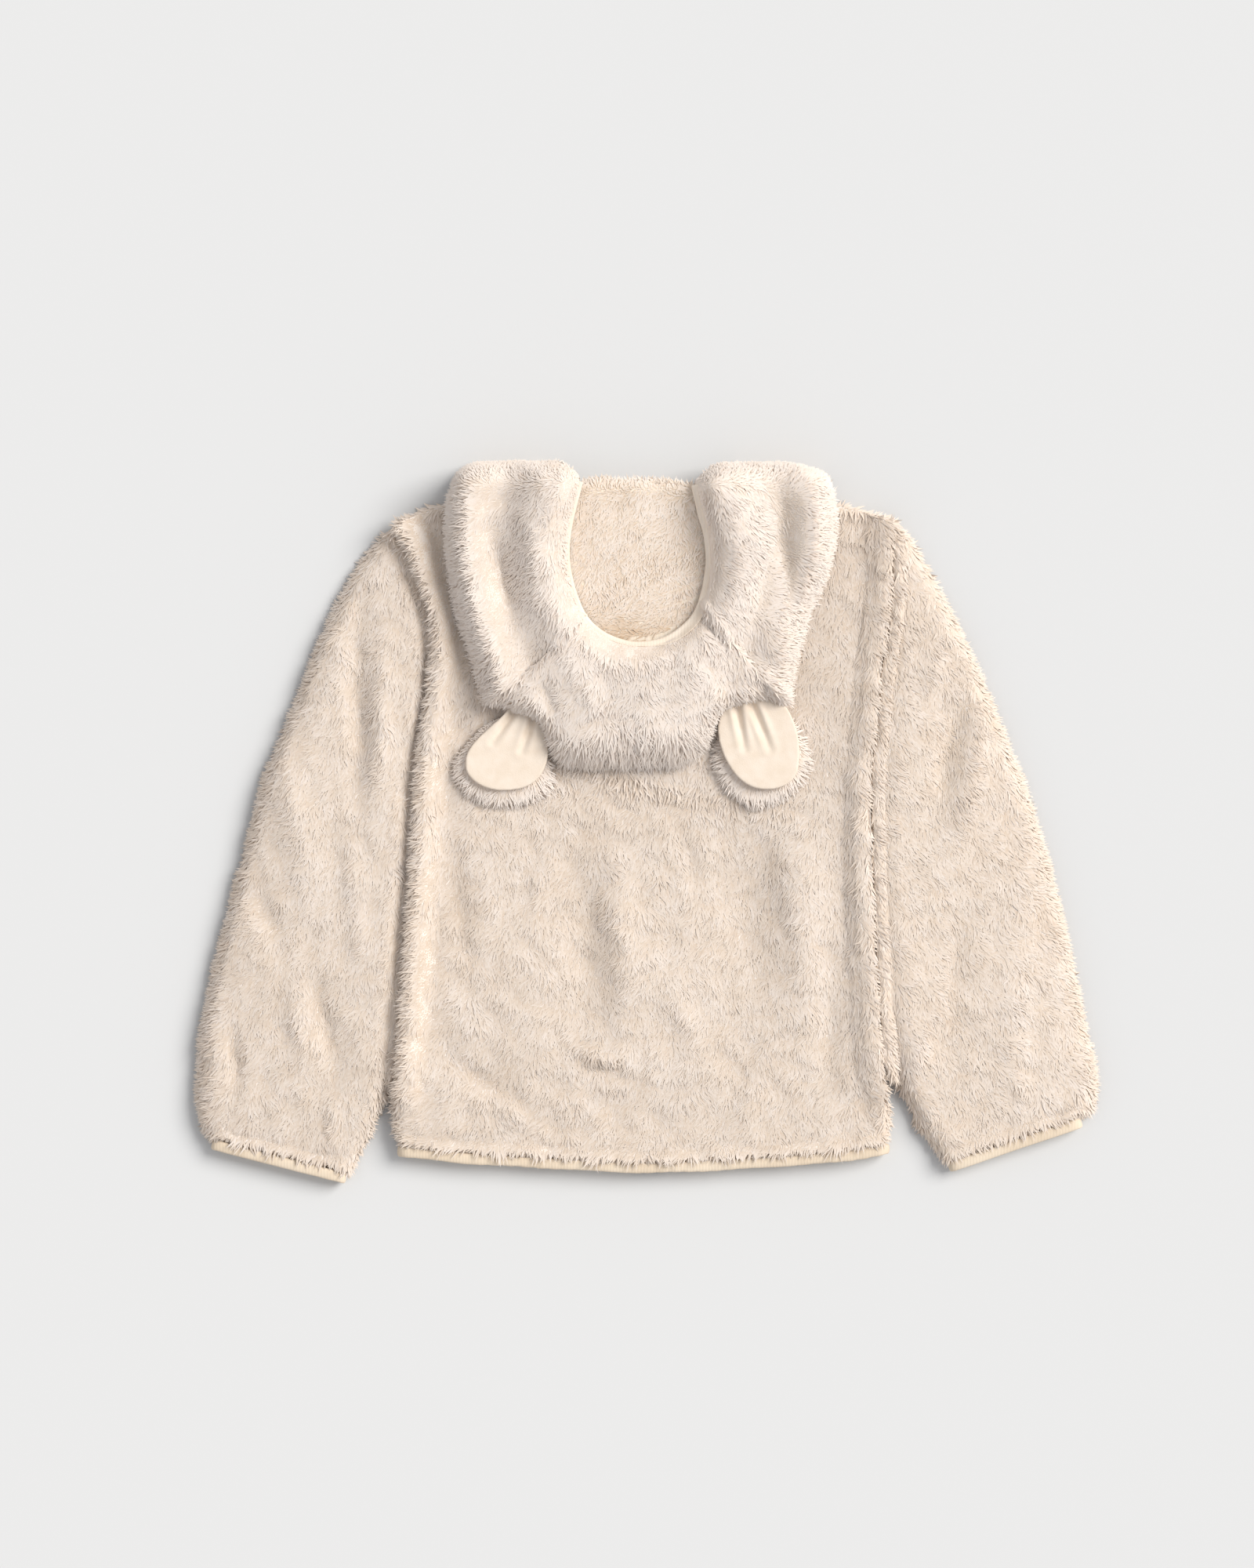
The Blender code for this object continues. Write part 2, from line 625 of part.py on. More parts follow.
def make_hem():
    """One binding from the zip's left edge round the back to its right edge."""
    low, high = HEM_CENTRES
    radius = (high - low) / 2
    left, right = HEM_TURNS
    end = ZIP_EDGE + HEM_END_GAP
    path = []
    front_steps, back_steps, turn_steps = HEM_STEPS
    for k in range(front_steps + 1):
        path.append((-end + (left + end) * k / front_steps, low))
    for k in range(1, turn_steps):
        a = math.pi * k / turn_steps
        path.append((left - radius * math.sin(a), low + radius * (1 - math.cos(a))))
    for k in range(back_steps + 1):
        path.append((left + (right - left) * k / back_steps, high))
    for k in range(1, turn_steps):
        a = math.pi * k / turn_steps
        path.append((right + radius * math.sin(a), high - radius * (1 - math.cos(a))))
    for k in range(front_steps + 1):
        path.append((right + (end - right) * k / front_steps, low))
    rings = []
    down = Vector((0, -1, 0))
    for k, (x, z) in enumerate(path):
        before, after = path[max(k - 1, 0)], path[min(k + 1, len(path) - 1)]
        along = Vector((after[0] - before[0], 0, after[1] - before[1])).normalized()
        ripple = HEM_RIPPLE * math.sin(HEM_RIPPLES * math.pi * x / (right - left))
        y = height_at(HEM, x) - SEAM - HEM_WIDTH / 2
        ring = strip_ring(Vector((x, y, z)), along, down, HEM_WIDTH, HEM_THICKNESS)
        lower_edge = min(p.y for p in ring)
        for p in ring:
            if p.y < lower_edge + HEM_EDGE_BAND:
                p.y += ripple
        rings.append(ring)
    ring_solid("hem_binding", rings, "binding")


def make_cuff(side):
    """A flattened loop round the end of a sleeve."""
    outer_x, outer_y, inner_x, inner_y, height, _ = SLEEVES[side][-1]
    outer, inner = Vector((outer_x, outer_y, 0)), Vector((inner_x, inner_y, 0))
    along = (inner - outer).normalized()
    hand = Vector((along.y, -along.x, 0))
    hand *= -math.copysign(1.0, hand.y)
    radius = (height - CUFF_THICKNESS) / 2
    start = outer + along * (radius + CUFF_THICKNESS / 2 + CUFF_INSET)
    end = inner - along * (radius + CUFF_THICKNESS / 2 + CUFF_INSET)
    shift = hand * (CUFF_LENGTH / 2 + SEAM) + Vector((0, 0, height / 2))
    up = Vector((0, 0, 1))
    path = []
    flat_steps, turn_steps = CUFF_STEPS
    for first, last, sign in ((start, end, 1), (end, start, -1)):
        for k in range(flat_steps + 1):
            centre = first.lerp(last, k / flat_steps) + up * (radius * sign)
            path.append((centre, along * sign))
        for k in range(1, turn_steps):
            a = math.pi * k / turn_steps
            out = along * (sign * math.sin(a)) + up * (sign * math.cos(a))
            path.append((last + out * radius, along * (sign * math.cos(a)) - up * (sign * math.sin(a))))
    rings = [strip_ring(c + shift, way, hand, CUFF_LENGTH, CUFF_THICKNESS) for c, way in path]
    ring_solid("cuff_binding_" + side, rings, "binding", closed=True)


# Hood
def hood_patch(top, bottom, left, right, across, down):
    """Plan points of a patch between four curves that share their corners."""
    grid = []
    for v in down:
        row = []
        for u in across:
            t, b = curve_at(top, u), curve_at(bottom, u)
            l, r = curve_at(left, v), curve_at(right, v)
            point = []
            for k in range(2):
                sides = (1 - u) * l[k] + u * r[k] + (1 - v) * t[k] + v * b[k]
                corners = (1 - u) * (1 - v) * top[0][k] + u * (1 - v) * top[-1][k]
                corners += (1 - u) * v * bottom[0][k] + u * v * bottom[-1][k]
                point.append(sides - corners)
            row.append(tuple(point))
        grid.append(row)
    return grid


def roll_height(lip, outer, ridge, valley):
    """Height over a hood side: an inner roll, a lengthwise valley and an outer roll."""
    share = lip / max(lip + outer, 0.001)
    dip = math.exp(-(((share - VALLEY_PLACE) / VALLEY_SPREAD) ** 2))
    return ridge - (ridge - valley) * dip


def lobe_share(x):
    """1 where a lobe reaches past the back neck, 0 between the lobes."""
    side = "left" if x < 0 else "right"
    return smooth((abs(x) - LOBE_FROM[side]) / LOBE_EASE)


def hood_height(kind, lip, side, outer, seam, y):
    """Top of the folded hood from its distances to the lip, the side, any outline and the seam."""
    rise = smooth((y - RISE_FROM) / RISE_LENGTH)
    if kind == "crown":
        full = CROWN_HEIGHT
    else:
        full = roll_height(lip, side, ROLL_RIDGE + RIDGE_RISE * rise, ROLL_VALLEY + VALLEY_RISE * rise)
    lip_share = edge_round(lip, *LIP_ROUND)
    outer_share = edge_round(outer, *OUTLINE_ROUND)
    seam_share = 1.0 - SEAM_DIP * (1 - smooth(seam / SEAM_DIP_WIDTH))
    return full * min(lip_share, outer_share) * seam_share


def hood_piece(name, kind, grid):
    """One piece of the folded hood. Row 0 is the neck or the lip, the last the seam or outline."""
    top, bottom = [], []
    for row in grid:
        upper, lower = [], []
        for k, (x, y) in enumerate(row):
            first, last = math.dist((x, y), row[0]), math.dist((x, y), row[-1])
            head = math.dist((x, y), grid[0][k])
            foot = math.dist((x, y), grid[-1][k])
            if kind == "crown":
                lip, outer_side = head, foot
                outer, seam = foot, min(first, last)
            else:
                lip, outer_side = (last, first) if kind == "left" else (first, last)
                outer, seam = min(outer_side, head), foot
            high = hood_height(kind, lip, outer_side, outer, seam, y)
            lobe = lobe_share(x)
            under_edge = outer if kind == "crown" else min(outer_side, head + NECK_REACH * (1 - lobe))
            base = UPPER_BOTTOM
            wrap = 1.0 - smooth((under_edge - WRAP_WIDTH) / WRAP_EASE)
            base += (REAR_BOTTOM + WRAP_CLEAR - UPPER_BOTTOM) * wrap
            base += (LOBE_FOOT - base) * lobe * smooth((y - LOBE_DROP_Y) / LOBE_DROP_LENGTH)
            base += UNDER_ROUND * max(0.0, 1.0 - outer / UNDER_ROUND_WIDTH)
            upper.append((x, y, max(high, base + LEAST_HOOD_WALL)))
            lower.append((x, y, base))
        top.append(upper)
        bottom.append(lower)
    return grid_solid(name, top, bottom, "sherpa")


def moved(points, dx, dy):
    return [(x + dx, y + dy) for x, y in points]


ACROSS_SIDE = (0.0, 0.035, 0.10, 0.20, 0.32, 0.44, 0.56, 0.68, 0.80, 0.91, 1.0)
DOWN_SIDE = (0.0, 0.014, 0.04, 0.07, 0.11, 0.20, 0.32, 0.45, 0.58, 0.71, 0.84, 0.94, 1.0)
ACROSS_CROWN = (0.0, 0.04, 0.13, 0.24, 0.35, 0.46, 0.54, 0.65, 0.76, 0.87, 0.96, 1.0)
DOWN_CROWN = (0.0, 0.05, 0.14, 0.28, 0.44, 0.60, 0.74, 0.85, 0.93, 0.975, 1.0)


def make_hood():
    gap = SEAM / 2 + 0.05
    grid = hood_patch(LOBE_LEFT, moved(SEAM_LEFT, -gap, gap), HOOD_LEFT, LIP_LEFT, ACROSS_SIDE, DOWN_SIDE)
    hood_piece("hood_side_left", "left", grid)
    across = [1 - u for u in reversed(ACROSS_SIDE)]
    grid = hood_patch(LOBE_RIGHT, moved(SEAM_RIGHT, gap, gap), LIP_RIGHT, HOOD_RIGHT, across, DOWN_SIDE)
    hood_piece("hood_side_right", "right", grid)
    left, right = moved(SEAM_LEFT[::-1], gap, -gap), moved(SEAM_RIGHT, -gap, -gap)
    grid = hood_patch(LIP_BOTTOM, CROWN_BOTTOM, left, right, ACROSS_CROWN, DOWN_CROWN)
    hood_piece("hood_crown", "crown", grid)


def disc(name, outline, centre, rings, height, finish):
    """A solid over a round outline. height(share, x, y) gives its bottom and top."""
    upper, lower = [], []
    for share in rings:
        for x, y in outline:
            px, py = centre[0] + (x - centre[0]) * share, centre[1] + (y - centre[1]) * share
            low, high = height(share, px, py)
            upper.append((px, py, high))
            lower.append((px, py, low))
    low, high = height(0.0, *centre)
    points = upper + lower + [(*centre, high), (*centre, low)]
    size, below = len(outline), len(upper)
    faces = []
    for j in range(len(rings) - 1):
        for k in range(size):
            m = (k + 1) % size
            quad = (j * size + k, j * size + m, (j + 1) * size + m, (j + 1) * size + k)
            faces.append(quad)
            faces.append(tuple(below + v for v in reversed(quad)))
    last = (len(rings) - 1) * size
    for k in range(size):
        m = (k + 1) % size
        faces.append((last + k, last + m, 2 * below))
        faces.append((below + last + m, below + last + k, 2 * below + 1))
        faces.append((k, m, below + m, below + k))
    return make_object(name, points, faces, finish)


def make_hood_rear():
    centre = REAR_CENTRE
    outline = closed_curve(REAR_OUTLINE, REAR_POINTS)

    def slab(low, high):
        def height(share, x, y):
            middle, half = (low + high) / 2, (high - low) / 2
            half *= edge_round((1 - share) * REAR_REACH, *REAR_RIM)
            return middle - half, middle + half
        return height

    rings = (1.0, 0.985, 0.95)
    disc("hood_rear", outline, centre, rings, slab(REAR_BOTTOM, REAR_TOP), "sherpa")
    inset = []
    for x, y in outline:
        away = math.hypot(x - centre[0], y - centre[1])
        keep = 1 - LINING_INSET / away
        inset.append((centre[0] + (x - centre[0]) * keep, centre[1] + (y - centre[1]) * keep))
    disc("hood_lining", inset, centre, rings, slab(LINING_BOTTOM, LINING_TOP), "fine_pile")


def make_hood_edge():
    """The smooth edge strip inside the lip of the face opening."""
    lip = LIP_LEFT[1:] + LIP_BOTTOM[1:-1] + LIP_RIGHT[:0:-1]
    rings = []
    for k in range(HOOD_EDGE_STEPS + 1):
        t = 0.02 + 0.96 * k / HOOD_EDGE_STEPS
        x, y = curve_at(lip, t)
        before, after = curve_at(lip, t - 0.015), curve_at(lip, t + 0.015)
        along = Vector((after[0] - before[0], after[1] - before[1], 0)).normalized()
        inward = Vector((-along.y, along.x, 0))
        centre = Vector((x, y, UPPER_BOTTOM + HOOD_EDGE_DEPTH / 2))
        centre += inward * (HOOD_EDGE_WIDTH / 2 + HOOD_EDGE_GAP)
        rings.append(strip_ring(centre, along, Vector((0, 0, 1)), HOOD_EDGE_DEPTH, HOOD_EDGE_WIDTH))
    ring_solid("hood_edge", rings, "binding")


# Ears
def distance_to_line(x, y, a, b):
    ax, ay = b[0] - a[0], b[1] - a[1]
    t = ((x - a[0]) * ax + (y - a[1]) * ay) / (ax * ax + ay * ay)
    t = min(max(t, 0.0), 1.0)
    return math.dist((x, y), (a[0] + ax * t, a[1] + ay * t))


def make_ear(side):
    """A flat sherpa back, and a velvet front with two pleats in it."""
    shape = EARS[side]
    centre = tuple(sum(p[k] for p in shape["back"]) / len(shape["back"]) for k in range(2))

    def back_height(share, x, y):
        edge = (1 - share) * EAR_REACH
        thick = (EAR_FLOOR - REAR_BOTTOM) * edge_round(edge, *EAR_RIM)
        low = REAR_BOTTOM + EAR_UNDER * max(0.0, 1 - edge / EAR_UNDER_WIDTH)
        return low, REAR_BOTTOM + thick

    disc("ear_" + side, closed_curve(shape["back"], 28), centre, (1.0, 0.95, 0.86), back_height, "sherpa")

    def front_height(share, x, y):
        edge = (1 - share) * VELVET_REACH
        low = EAR_FLOOR + SEAM
        high = low + (VELVET_TOP - low) * edge_round(edge, *VELVET_RIM)
        high += VELVET_CROWN * smooth(edge / VELVET_CROWN_REACH)
        for a, b in shape["pleats"]:
            high -= PLEAT_DEPTH * max(0.0, 1 - distance_to_line(x, y, a, b) / PLEAT_WIDTH)
        return low, high

    rings = (1.0, 0.93, 0.78, 0.55, 0.30)
    disc("ear_" + side + "_inner", closed_curve(shape["inner"], 26), centre, rings, front_height, "velvet")


# Zip
def make_tapes():
    """Each tape is a flat strip with its half of the chain along the edge."""
    for side, sign in (("left", -1), ("right", 1)):
        section = [
            (0.15, CHAIN_BOTTOM + 0.4), (0.6, CHAIN_BOTTOM), (CHAIN_HALF, CHAIN_BOTTOM),
            (CHAIN_HALF, TAPE_BOTTOM), (TAPE_HALF, TAPE_BOTTOM), (TAPE_HALF, TAPE_TOP), (0.15, TAPE_TOP),
        ]
        rings = []
        for y in (ZIP_BOTTOM, ZIP_TOP):
            rings.append([(sign * x, y, z) for x, z in section])
        ring_solid("zip_tape_" + side, rings, "tape")


def box(name, low, high, finish):
    corners = [(x, y, z) for z in (low[2], high[2]) for x, y in (
        (low[0], low[1]), (high[0], low[1]), (high[0], high[1]), (low[0], high[1]))]
    return ring_solid(name, [corners[:4], corners[4:]], finish)


def rod(name, radius, half_length, finish, sides=16):
    """A rod along x about the pivot."""
    rings = []
    for x in (-half_length, half_length):
        ring = []
        for k in range(sides):
            a = 2 * math.pi * (k + 0.5) / sides
            ring.append((x, PIVOT_Y + radius * math.cos(a), PIVOT_Z + radius * math.sin(a)))
        rings.append(ring)
    return ring_solid(name, rings, finish)


def combine(obj, other, operation):
    """Joins or cuts one closed object with another, which is then removed."""
    modifier = obj.modifiers.new("combine", "BOOLEAN")
    modifier.operation = operation
    modifier.object = other
    graph = bpy.context.evaluated_depsgraph_get()
    result = bpy.data.meshes.new_from_object(obj.evaluated_get(graph))
    obj.modifiers.clear()
    obj.data = result
    bpy.data.objects.remove(other, do_unlink=True)


def make_slider():
    """Plate with a nose at the neck end, and two lugs that hold the pin."""
    wide, long, thick = SLIDER_PLATE
    top = CHAIN_BOTTOM - SEAM
    half, foot, waist, shoulder = wide / 2, wide * SLIDER_FOOT, wide * SLIDER_WAIST, long * SLIDER_SHOULDER_Y
    outline = [
        (-foot, -long / 2), (foot, -long / 2), (waist, 0), (half, shoulder),
        (waist, long / 2), (-waist, long / 2), (-half, shoulder), (-waist, 0),
    ]
    rings = [[(x, SLIDER_Y + y, z) for x, y in outline] for z in (top - thick, top)]
    slider = ring_solid("zip_slider", rings, "metal")
    lug_inner = BARREL_LENGTH / 2 + SEAM
    for sign in (-1, 1):
        xs = sorted((sign * lug_inner, sign * (lug_inner + LUG_WIDTH)))
        low = (xs[0], PIVOT_Y - LUG_REACH, PIVOT_Z - LUG_REACH)
        high = (xs[1], PIVOT_Y + LUG_REACH, top - thick / 2)
        combine(slider, box("lug", low, high, "metal"), "UNION")
    pin = rod("pin", PIN_RADIUS, lug_inner + LUG_WIDTH / 2, "metal", 12)
    combine(slider, pin, "UNION")


def make_pull():
    """Pull tab: a barrel on the slider's pin, a neck and a plate with a hole near its end."""
    pull = rod("zip_pull", BARREL_RADIUS, BARREL_LENGTH / 2, "metal")
    half = TAB_THICKNESS / 2
    neck_end = PIVOT_Y - BARREL_RADIUS - NECK_LENGTH
    neck_top = PIVOT_Y - BARREL_BORE - SEAM
    low = (-NECK_HALF, neck_end - NECK_OVERLAP, PIVOT_Z - half)
    combine(pull, box("neck", low, (NECK_HALF, neck_top, PIVOT_Z + half), "metal"), "UNION")
    tip = PIVOT_Y - TAB_LENGTH
    wide = TAB_WIDTH / 2
    end, shoulder = wide * TAB_END, wide * TAB_SHOULDER
    outline = [
        (-end, neck_end), (-shoulder, neck_end - TAB_CHAMFER), (-wide, tip + TAB_CHAMFER), (-end, tip),
        (end, tip), (wide, tip + TAB_CHAMFER), (shoulder, neck_end - TAB_CHAMFER), (end, neck_end),
    ]
    levels = (PIVOT_Z - half, PIVOT_Z + half)
    plate = ring_solid("plate", [[(x, y, z) for x, y in outline] for z in levels], "metal")
    combine(pull, plate, "UNION")
    angles = [math.tau * k / 12 for k in range(12)]
    wide, long = HOLE_HALF
    hole = [(wide * math.cos(a), tip + HOLE_FROM_TIP + long * math.sin(a)) for a in angles]
    levels = (PIVOT_Z - TAB_THICKNESS, PIVOT_Z + TAB_THICKNESS)
    cutter = ring_solid("hole", [[(x, y, z) for x, y in hole] for z in levels], "metal")
    combine(pull, cutter, "DIFFERENCE")
    bore = rod("bore", BARREL_BORE, BARREL_LENGTH, "metal", 12)
    combine(pull, bore, "DIFFERENCE")


clear_scene()
make_body()
for sleeve_side in ("left", "right"):
    make_sleeve(sleeve_side)
    make_cuff(sleeve_side)
    make_ear(sleeve_side)
make_hem()
make_hood_rear()
make_hood()
make_hood_edge()
make_tapes()
make_slider()
make_pull()
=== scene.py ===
"""Child's hooded sherpa jacket with bear ears, lying flat with its back up: its looks.

Sizes are in millimetres where a comment doesn't say otherwise, and MM turns them into
metres. X runs across the hem, Y from the hem to the neck, Z up from the surface.
"""
import math

import bmesh
import bpy
import numpy as np
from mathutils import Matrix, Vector, noise
from mathutils.bvhtree import BVHTree


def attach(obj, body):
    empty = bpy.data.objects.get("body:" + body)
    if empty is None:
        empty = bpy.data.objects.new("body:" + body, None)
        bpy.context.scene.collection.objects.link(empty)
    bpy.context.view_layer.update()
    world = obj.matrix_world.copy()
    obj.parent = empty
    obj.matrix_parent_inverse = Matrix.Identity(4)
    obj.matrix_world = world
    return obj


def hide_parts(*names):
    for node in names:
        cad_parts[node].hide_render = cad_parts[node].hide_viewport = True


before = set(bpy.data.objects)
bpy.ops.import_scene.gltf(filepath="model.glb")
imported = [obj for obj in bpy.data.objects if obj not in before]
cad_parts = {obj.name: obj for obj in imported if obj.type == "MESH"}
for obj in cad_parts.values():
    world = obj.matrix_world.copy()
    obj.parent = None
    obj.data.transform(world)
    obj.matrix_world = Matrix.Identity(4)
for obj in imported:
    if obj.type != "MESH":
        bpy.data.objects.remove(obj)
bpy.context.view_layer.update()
MM = 0.001

# Back
# One panel of sherpa from the shoulders to the hem: a knitted ground with long curly pile on
# its outer side. The pile lies in tapered locks that overlap like feathers, the nap to the hem.
BACK_FOLDS = (  # centre x, y, half width, half length, turn in degrees, height
    (-38, -70, 16, 60, 4, -2.2),
    (-14, -82, 14, 56, 3, 2.0),
    (62, -60, 25, 70, -6, -2.2),
    (98, -52, 14, 68, -4, 1.8),
    (-70, -48, 10, 36, -18, 1.4),
    (-118, -62, 7, 46, 4, -1.4),
    (20, -118, 9, 32, 22, 1.2),
    (-32, -149, 5, 15, 60, 2.6),
    (-24, -157, 5, 14, 66, -2.6),
    (-100, -166, 9, 42, 50, -2.4),
    (-84, -182, 8, 36, 52, 1.8),
    (-60, -193, 7, 24, 70, -1.2),
    (66, -176, 9, 36, -22, 1.3),
    (118, -128, 8, 44, -4, -1.4),
    (128, 40, 8, 60, 3, 1.2),
    (30, -30, 9, 40, 12, -1.3),
)
BACK_PILE = {"Spacing": 1.08, "Length": 8.2, "Width": 5.2, "Height": 0.5, "Turn": 0.95, "Seed": 3}
PILE_DEPTH = 1.5  # how far the knitted ground lies under the reach of the pile
PILE = {  # where a piece's own pile doesn't say otherwise
    "Tufts": 0.5,  # how much higher it stands in a tuft than beside it
    "Lift": 2.2,  # how much the locks of a turned-down edge stand outwards instead of hanging down
    "Tilt": 0.2,  # how far a lock's lit side leans towards its tip
    "Lit": 1.3,  # how far the lit side of a lock that stands off an edge leans upwards
    "Tone": 0.55,  # of a lock, before its own change
    "Lowest": 0.3,  # no lock goes lower than this over the surface
}
COVER_NEAR = 3.5  # cloth this near above hides the pile
OWN_NEAR = 3.0  # so does the same cloth, turned over
OFF_SKIN = 0.0002  # in metres, as the next: a ray starts this far from the cloth
ABOVE_ALL = 0.09  # and a ray down starts at this height
TOP, WALL, BELOW = 0.5, 0.6, -0.3  # a top's normal has more Z, a wall's less, an underside's less
UNEVEN = ((28.0, 1.0), (75.0, 0.8))  # scale and height of each layer of the ground's unevenness
SEWN = (6.0, -5.0)  # the cloth keeps its height beside a seam, from this far and over this width
SEAM_HIGH = 0.75  # and is sunk less there, by this share
SEAM_CLOSED = 0.5  # how far a seam's walls come together
UNDER_COVER = 0.5  # share of the locks on a side that is pressed against the surface
FOLD_PAINTED_SHADE = 0.025  # painted light and shade: the pile is painted paler on a fold's ridge and darker in its trough, by this for each millimetre of the fold's height
BINDING_NEAR = 9.0  # beside a binding the pile stands over it, from this far
BINDING_RISE = 2.4
EDGE_ROLL = (1.2, 5.5)  # how far the side edges are rolled outwards and down
RIGHT_EDGE = (17.5, 0.45)  # past this height, the right edge is pressed down by this share


def colour(code):
    """Linear colour of an sRGB hex code."""
    values = [int(code[k:k + 2], 16) / 255 for k in (1, 3, 5)]
    linear = [v / 12.92 if v <= 0.04045 else ((v + 0.055) / 1.055) ** 2.4 for v in values]
    return (*linear, 1.0)


def feed(tree, node, inputs):
    """Gives a node's sockets, by name or number, their values or links from other sockets."""
    for name, value in inputs.items():
        if isinstance(value, bpy.types.NodeSocket):
            tree.links.new(value, node.inputs[name])
        else:
            node.inputs[name].default_value = value
    return node


def add_node(tree, kind, settings=None, inputs=None):
    """Adds a node with its settings and inputs."""
    made = tree.nodes.new(kind)
    for name, value in (settings or {}).items():
        setattr(made, name, value)
    return feed(tree, made, inputs or {})


def noise_at(tree, place, scale, detail, output="Fac"):
    inputs = {"Vector": place, "Scale": scale, "Detail": detail}
    return add_node(tree, "ShaderNodeTexNoise", None, inputs).outputs[output]


def streaks(tree, place, scale, detail):
    """Noise with a scale for each axis."""
    drawn = add_node(tree, "ShaderNodeMapping", None, {"Vector": place, "Scale": scale})
    return noise_at(tree, drawn.outputs["Vector"], 1.0, detail)


def ramp(tree, value, stops):
    """The colour that a ramp of (place, hex colour) stops gives a value."""
    made = add_node(tree, "ShaderNodeValToRGB", inputs={"Fac": value})
    band = made.color_ramp
    while len(band.elements) < len(stops):
        band.elements.new(0.5)
    for element, (place, code) in zip(band.elements, stops):
        element.position = place
        element.color = colour(code)
    return made.outputs["Color"]


def new_material(name):
    """A material, its nodes, and its place on the object."""
    material = bpy.data.materials.new(name)
    material.use_nodes = True
    tree = material.node_tree
    return material, tree, add_node(tree, "ShaderNodeTexCoord").outputs["Object"]


def set_surface(tree, values, relief=None):
    """Gives the surface its values or sockets. relief is a height, its strength and its depth."""
    if relief:
        height, strength, depth = relief
        bump = add_node(tree, "ShaderNodeBump", None,
                        {"Height": height, "Strength": strength, "Distance": depth})
        values = {**values, "Normal": bump.outputs["Normal"]}
    feed(tree, tree.nodes["Principled BSDF"], values)


def knitted_ground(name, pale, deep):
    """Short fibre close to the knit, between the locks: matt, its strands about 1 mm apart, coloured darker
    than the tips as painted shade between the locks.
    """
    material, tree, place = new_material(name)
    patches = noise_at(tree, place, 60.0, 3.0, "Color")
    bent = add_node(tree, "ShaderNodeVectorMath", {"operation": "MULTIPLY_ADD"},
                    {0: patches, 1: (0.012, 0.012, 0.012), 2: place})
    strands = streaks(tree, bent.outputs[0], (800.0, 110.0, 110.0), 2.0)
    tone = ramp(tree, strands, ((0.35, deep), (0.6, pale)))
    set_surface(tree, {"Base Color": tone, "Roughness": 0.95}, (strands, 0.5, 0.0006))
    return material


def curly_pile(name, root_to_tip, darkest_tone_and_shade):
    """Polyester fibre in locks: U of the map holds a lock's tone, its own and painted light and shade, V runs
    from root to tip, the roots darker as painted shade.
    """
    material, tree, _ = new_material(name)
    place = add_node(tree, "ShaderNodeUVMap", {"uv_map": "UVMap"}).outputs["UV"]
    parts = add_node(tree, "ShaderNodeSeparateXYZ", inputs={"Vector": place}).outputs
    base = ramp(tree, parts["Y"], root_to_tip)
    # Tone 0 gives the darkest colour: for randomly darker locks, and for painted shade in folds' troughs and
    # the lining's lower end.
    tone = ramp(tree, parts["X"], ((0.0, darkest_tone_and_shade), (0.5, "#F4EEE6"), (0.75, "#FDFBF9"), (1.0, "#FFFFFF")))
    strands = streaks(tree, place, (560.0, 1.6, 1.0), 2.0)
    lines = ramp(tree, strands, ((0.32, "#EFE9E2"), (0.58, "#FFFFFF")))
    for share, layer in ((1.0, tone), (0.6, lines)):
        base = add_node(tree, "ShaderNodeMix", {"data_type": "RGBA", "blend_type": "MULTIPLY"},
                        {"Factor": share, 6: base, 7: layer}).outputs[2]
    set_surface(tree, {"Base Color": base, "Roughness": 0.9, "Sheen Weight": 0.1, "Sheen Roughness": 0.5})
    return material


def solid_tree(names):
    """One search tree over the solids of several nodes."""
    points, faces = [], []
    for name in names:
        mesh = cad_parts[name].data
        start = len(points)
        points += [v.co.copy() for v in mesh.vertices]
        faces += [tuple(start + v for v in p.vertices) for p in mesh.polygons]
    return BVHTree.FromPolygons(points, faces)


def link(obj):
    bpy.context.scene.collection.objects.link(obj)
    return obj


def piece_of(name, points, faces):
    """An object with a mesh from points and faces."""
    mesh = bpy.data.meshes.new(name)
    mesh.from_pydata(points, [], faces)
    mesh.update()
    return link(bpy.data.objects.new(name, mesh))


def grid_faces(steps, across):
    """Faces over rows of points, each with so many points across."""
    starts = [i * across + j for i in range(steps) for j in range(across - 1)]
    return [(a, a + across, a + across + 1, a + 1) for a in starts]


def piece_from(name, shape):
    """An object with a mesh from a bmesh, which is freed."""
    obj = piece_of(name, [], [])
    shape.to_mesh(obj.data)
    shape.free()
    return obj


def modify(obj, name, kind, **values):
    """Adds a modifier with its properties."""
    modifier = obj.modifiers.new(name, kind)
    for key, value in values.items():
        setattr(modifier, key, value)
    return modifier


def coat(obj, material):
    obj.data.materials.clear()
    obj.data.materials.append(material)
    return obj


def applied(obj):
    """Turns an object with its modifiers into a plain mesh."""
    graph = bpy.context.evaluated_depsgraph_get()
    mesh = bpy.data.meshes.new_from_object(obj.evaluated_get(graph))
    obj.modifiers.clear()
    obj.data = mesh
    mesh.name = obj.name
    return obj


def smoothed(obj):
    applied(obj).data.shade_smooth()
    return obj


def finer_copy(name, node_name, levels=2):
    """A copy of a CAD node's solid with its corners joined, made finer and rounder."""
    shell = bmesh.new()
    shell.from_mesh(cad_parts[node_name].data)
    bmesh.ops.remove_doubles(shell, verts=shell.verts, dist=0.00001)
    bmesh.ops.join_triangles(shell, faces=shell.faces, angle_face_threshold=0.6, angle_shape_threshold=0.9)
    obj = piece_from(name, shell)
    modify(obj, "finer", "SUBSURF", levels=levels)
    return smoothed(obj)


def fold_sum(folds, x, y):
    """Height of the soft ridges and troughs at a place."""
    total = 0.0
    for cx, cy, half_width, half_length, turn, height in folds:
        a = math.radians(turn)
        across = (x - cx) * math.cos(a) + (y - cy) * math.sin(a)
        along = -(x - cx) * math.sin(a) + (y - cy) * math.cos(a)
        across += 0.2 * half_width * math.sin(2.5 * along / half_length)
        total += height * math.exp(-1.4 * ((across / half_width) ** 2 + (along / half_length) ** 2))
    return total


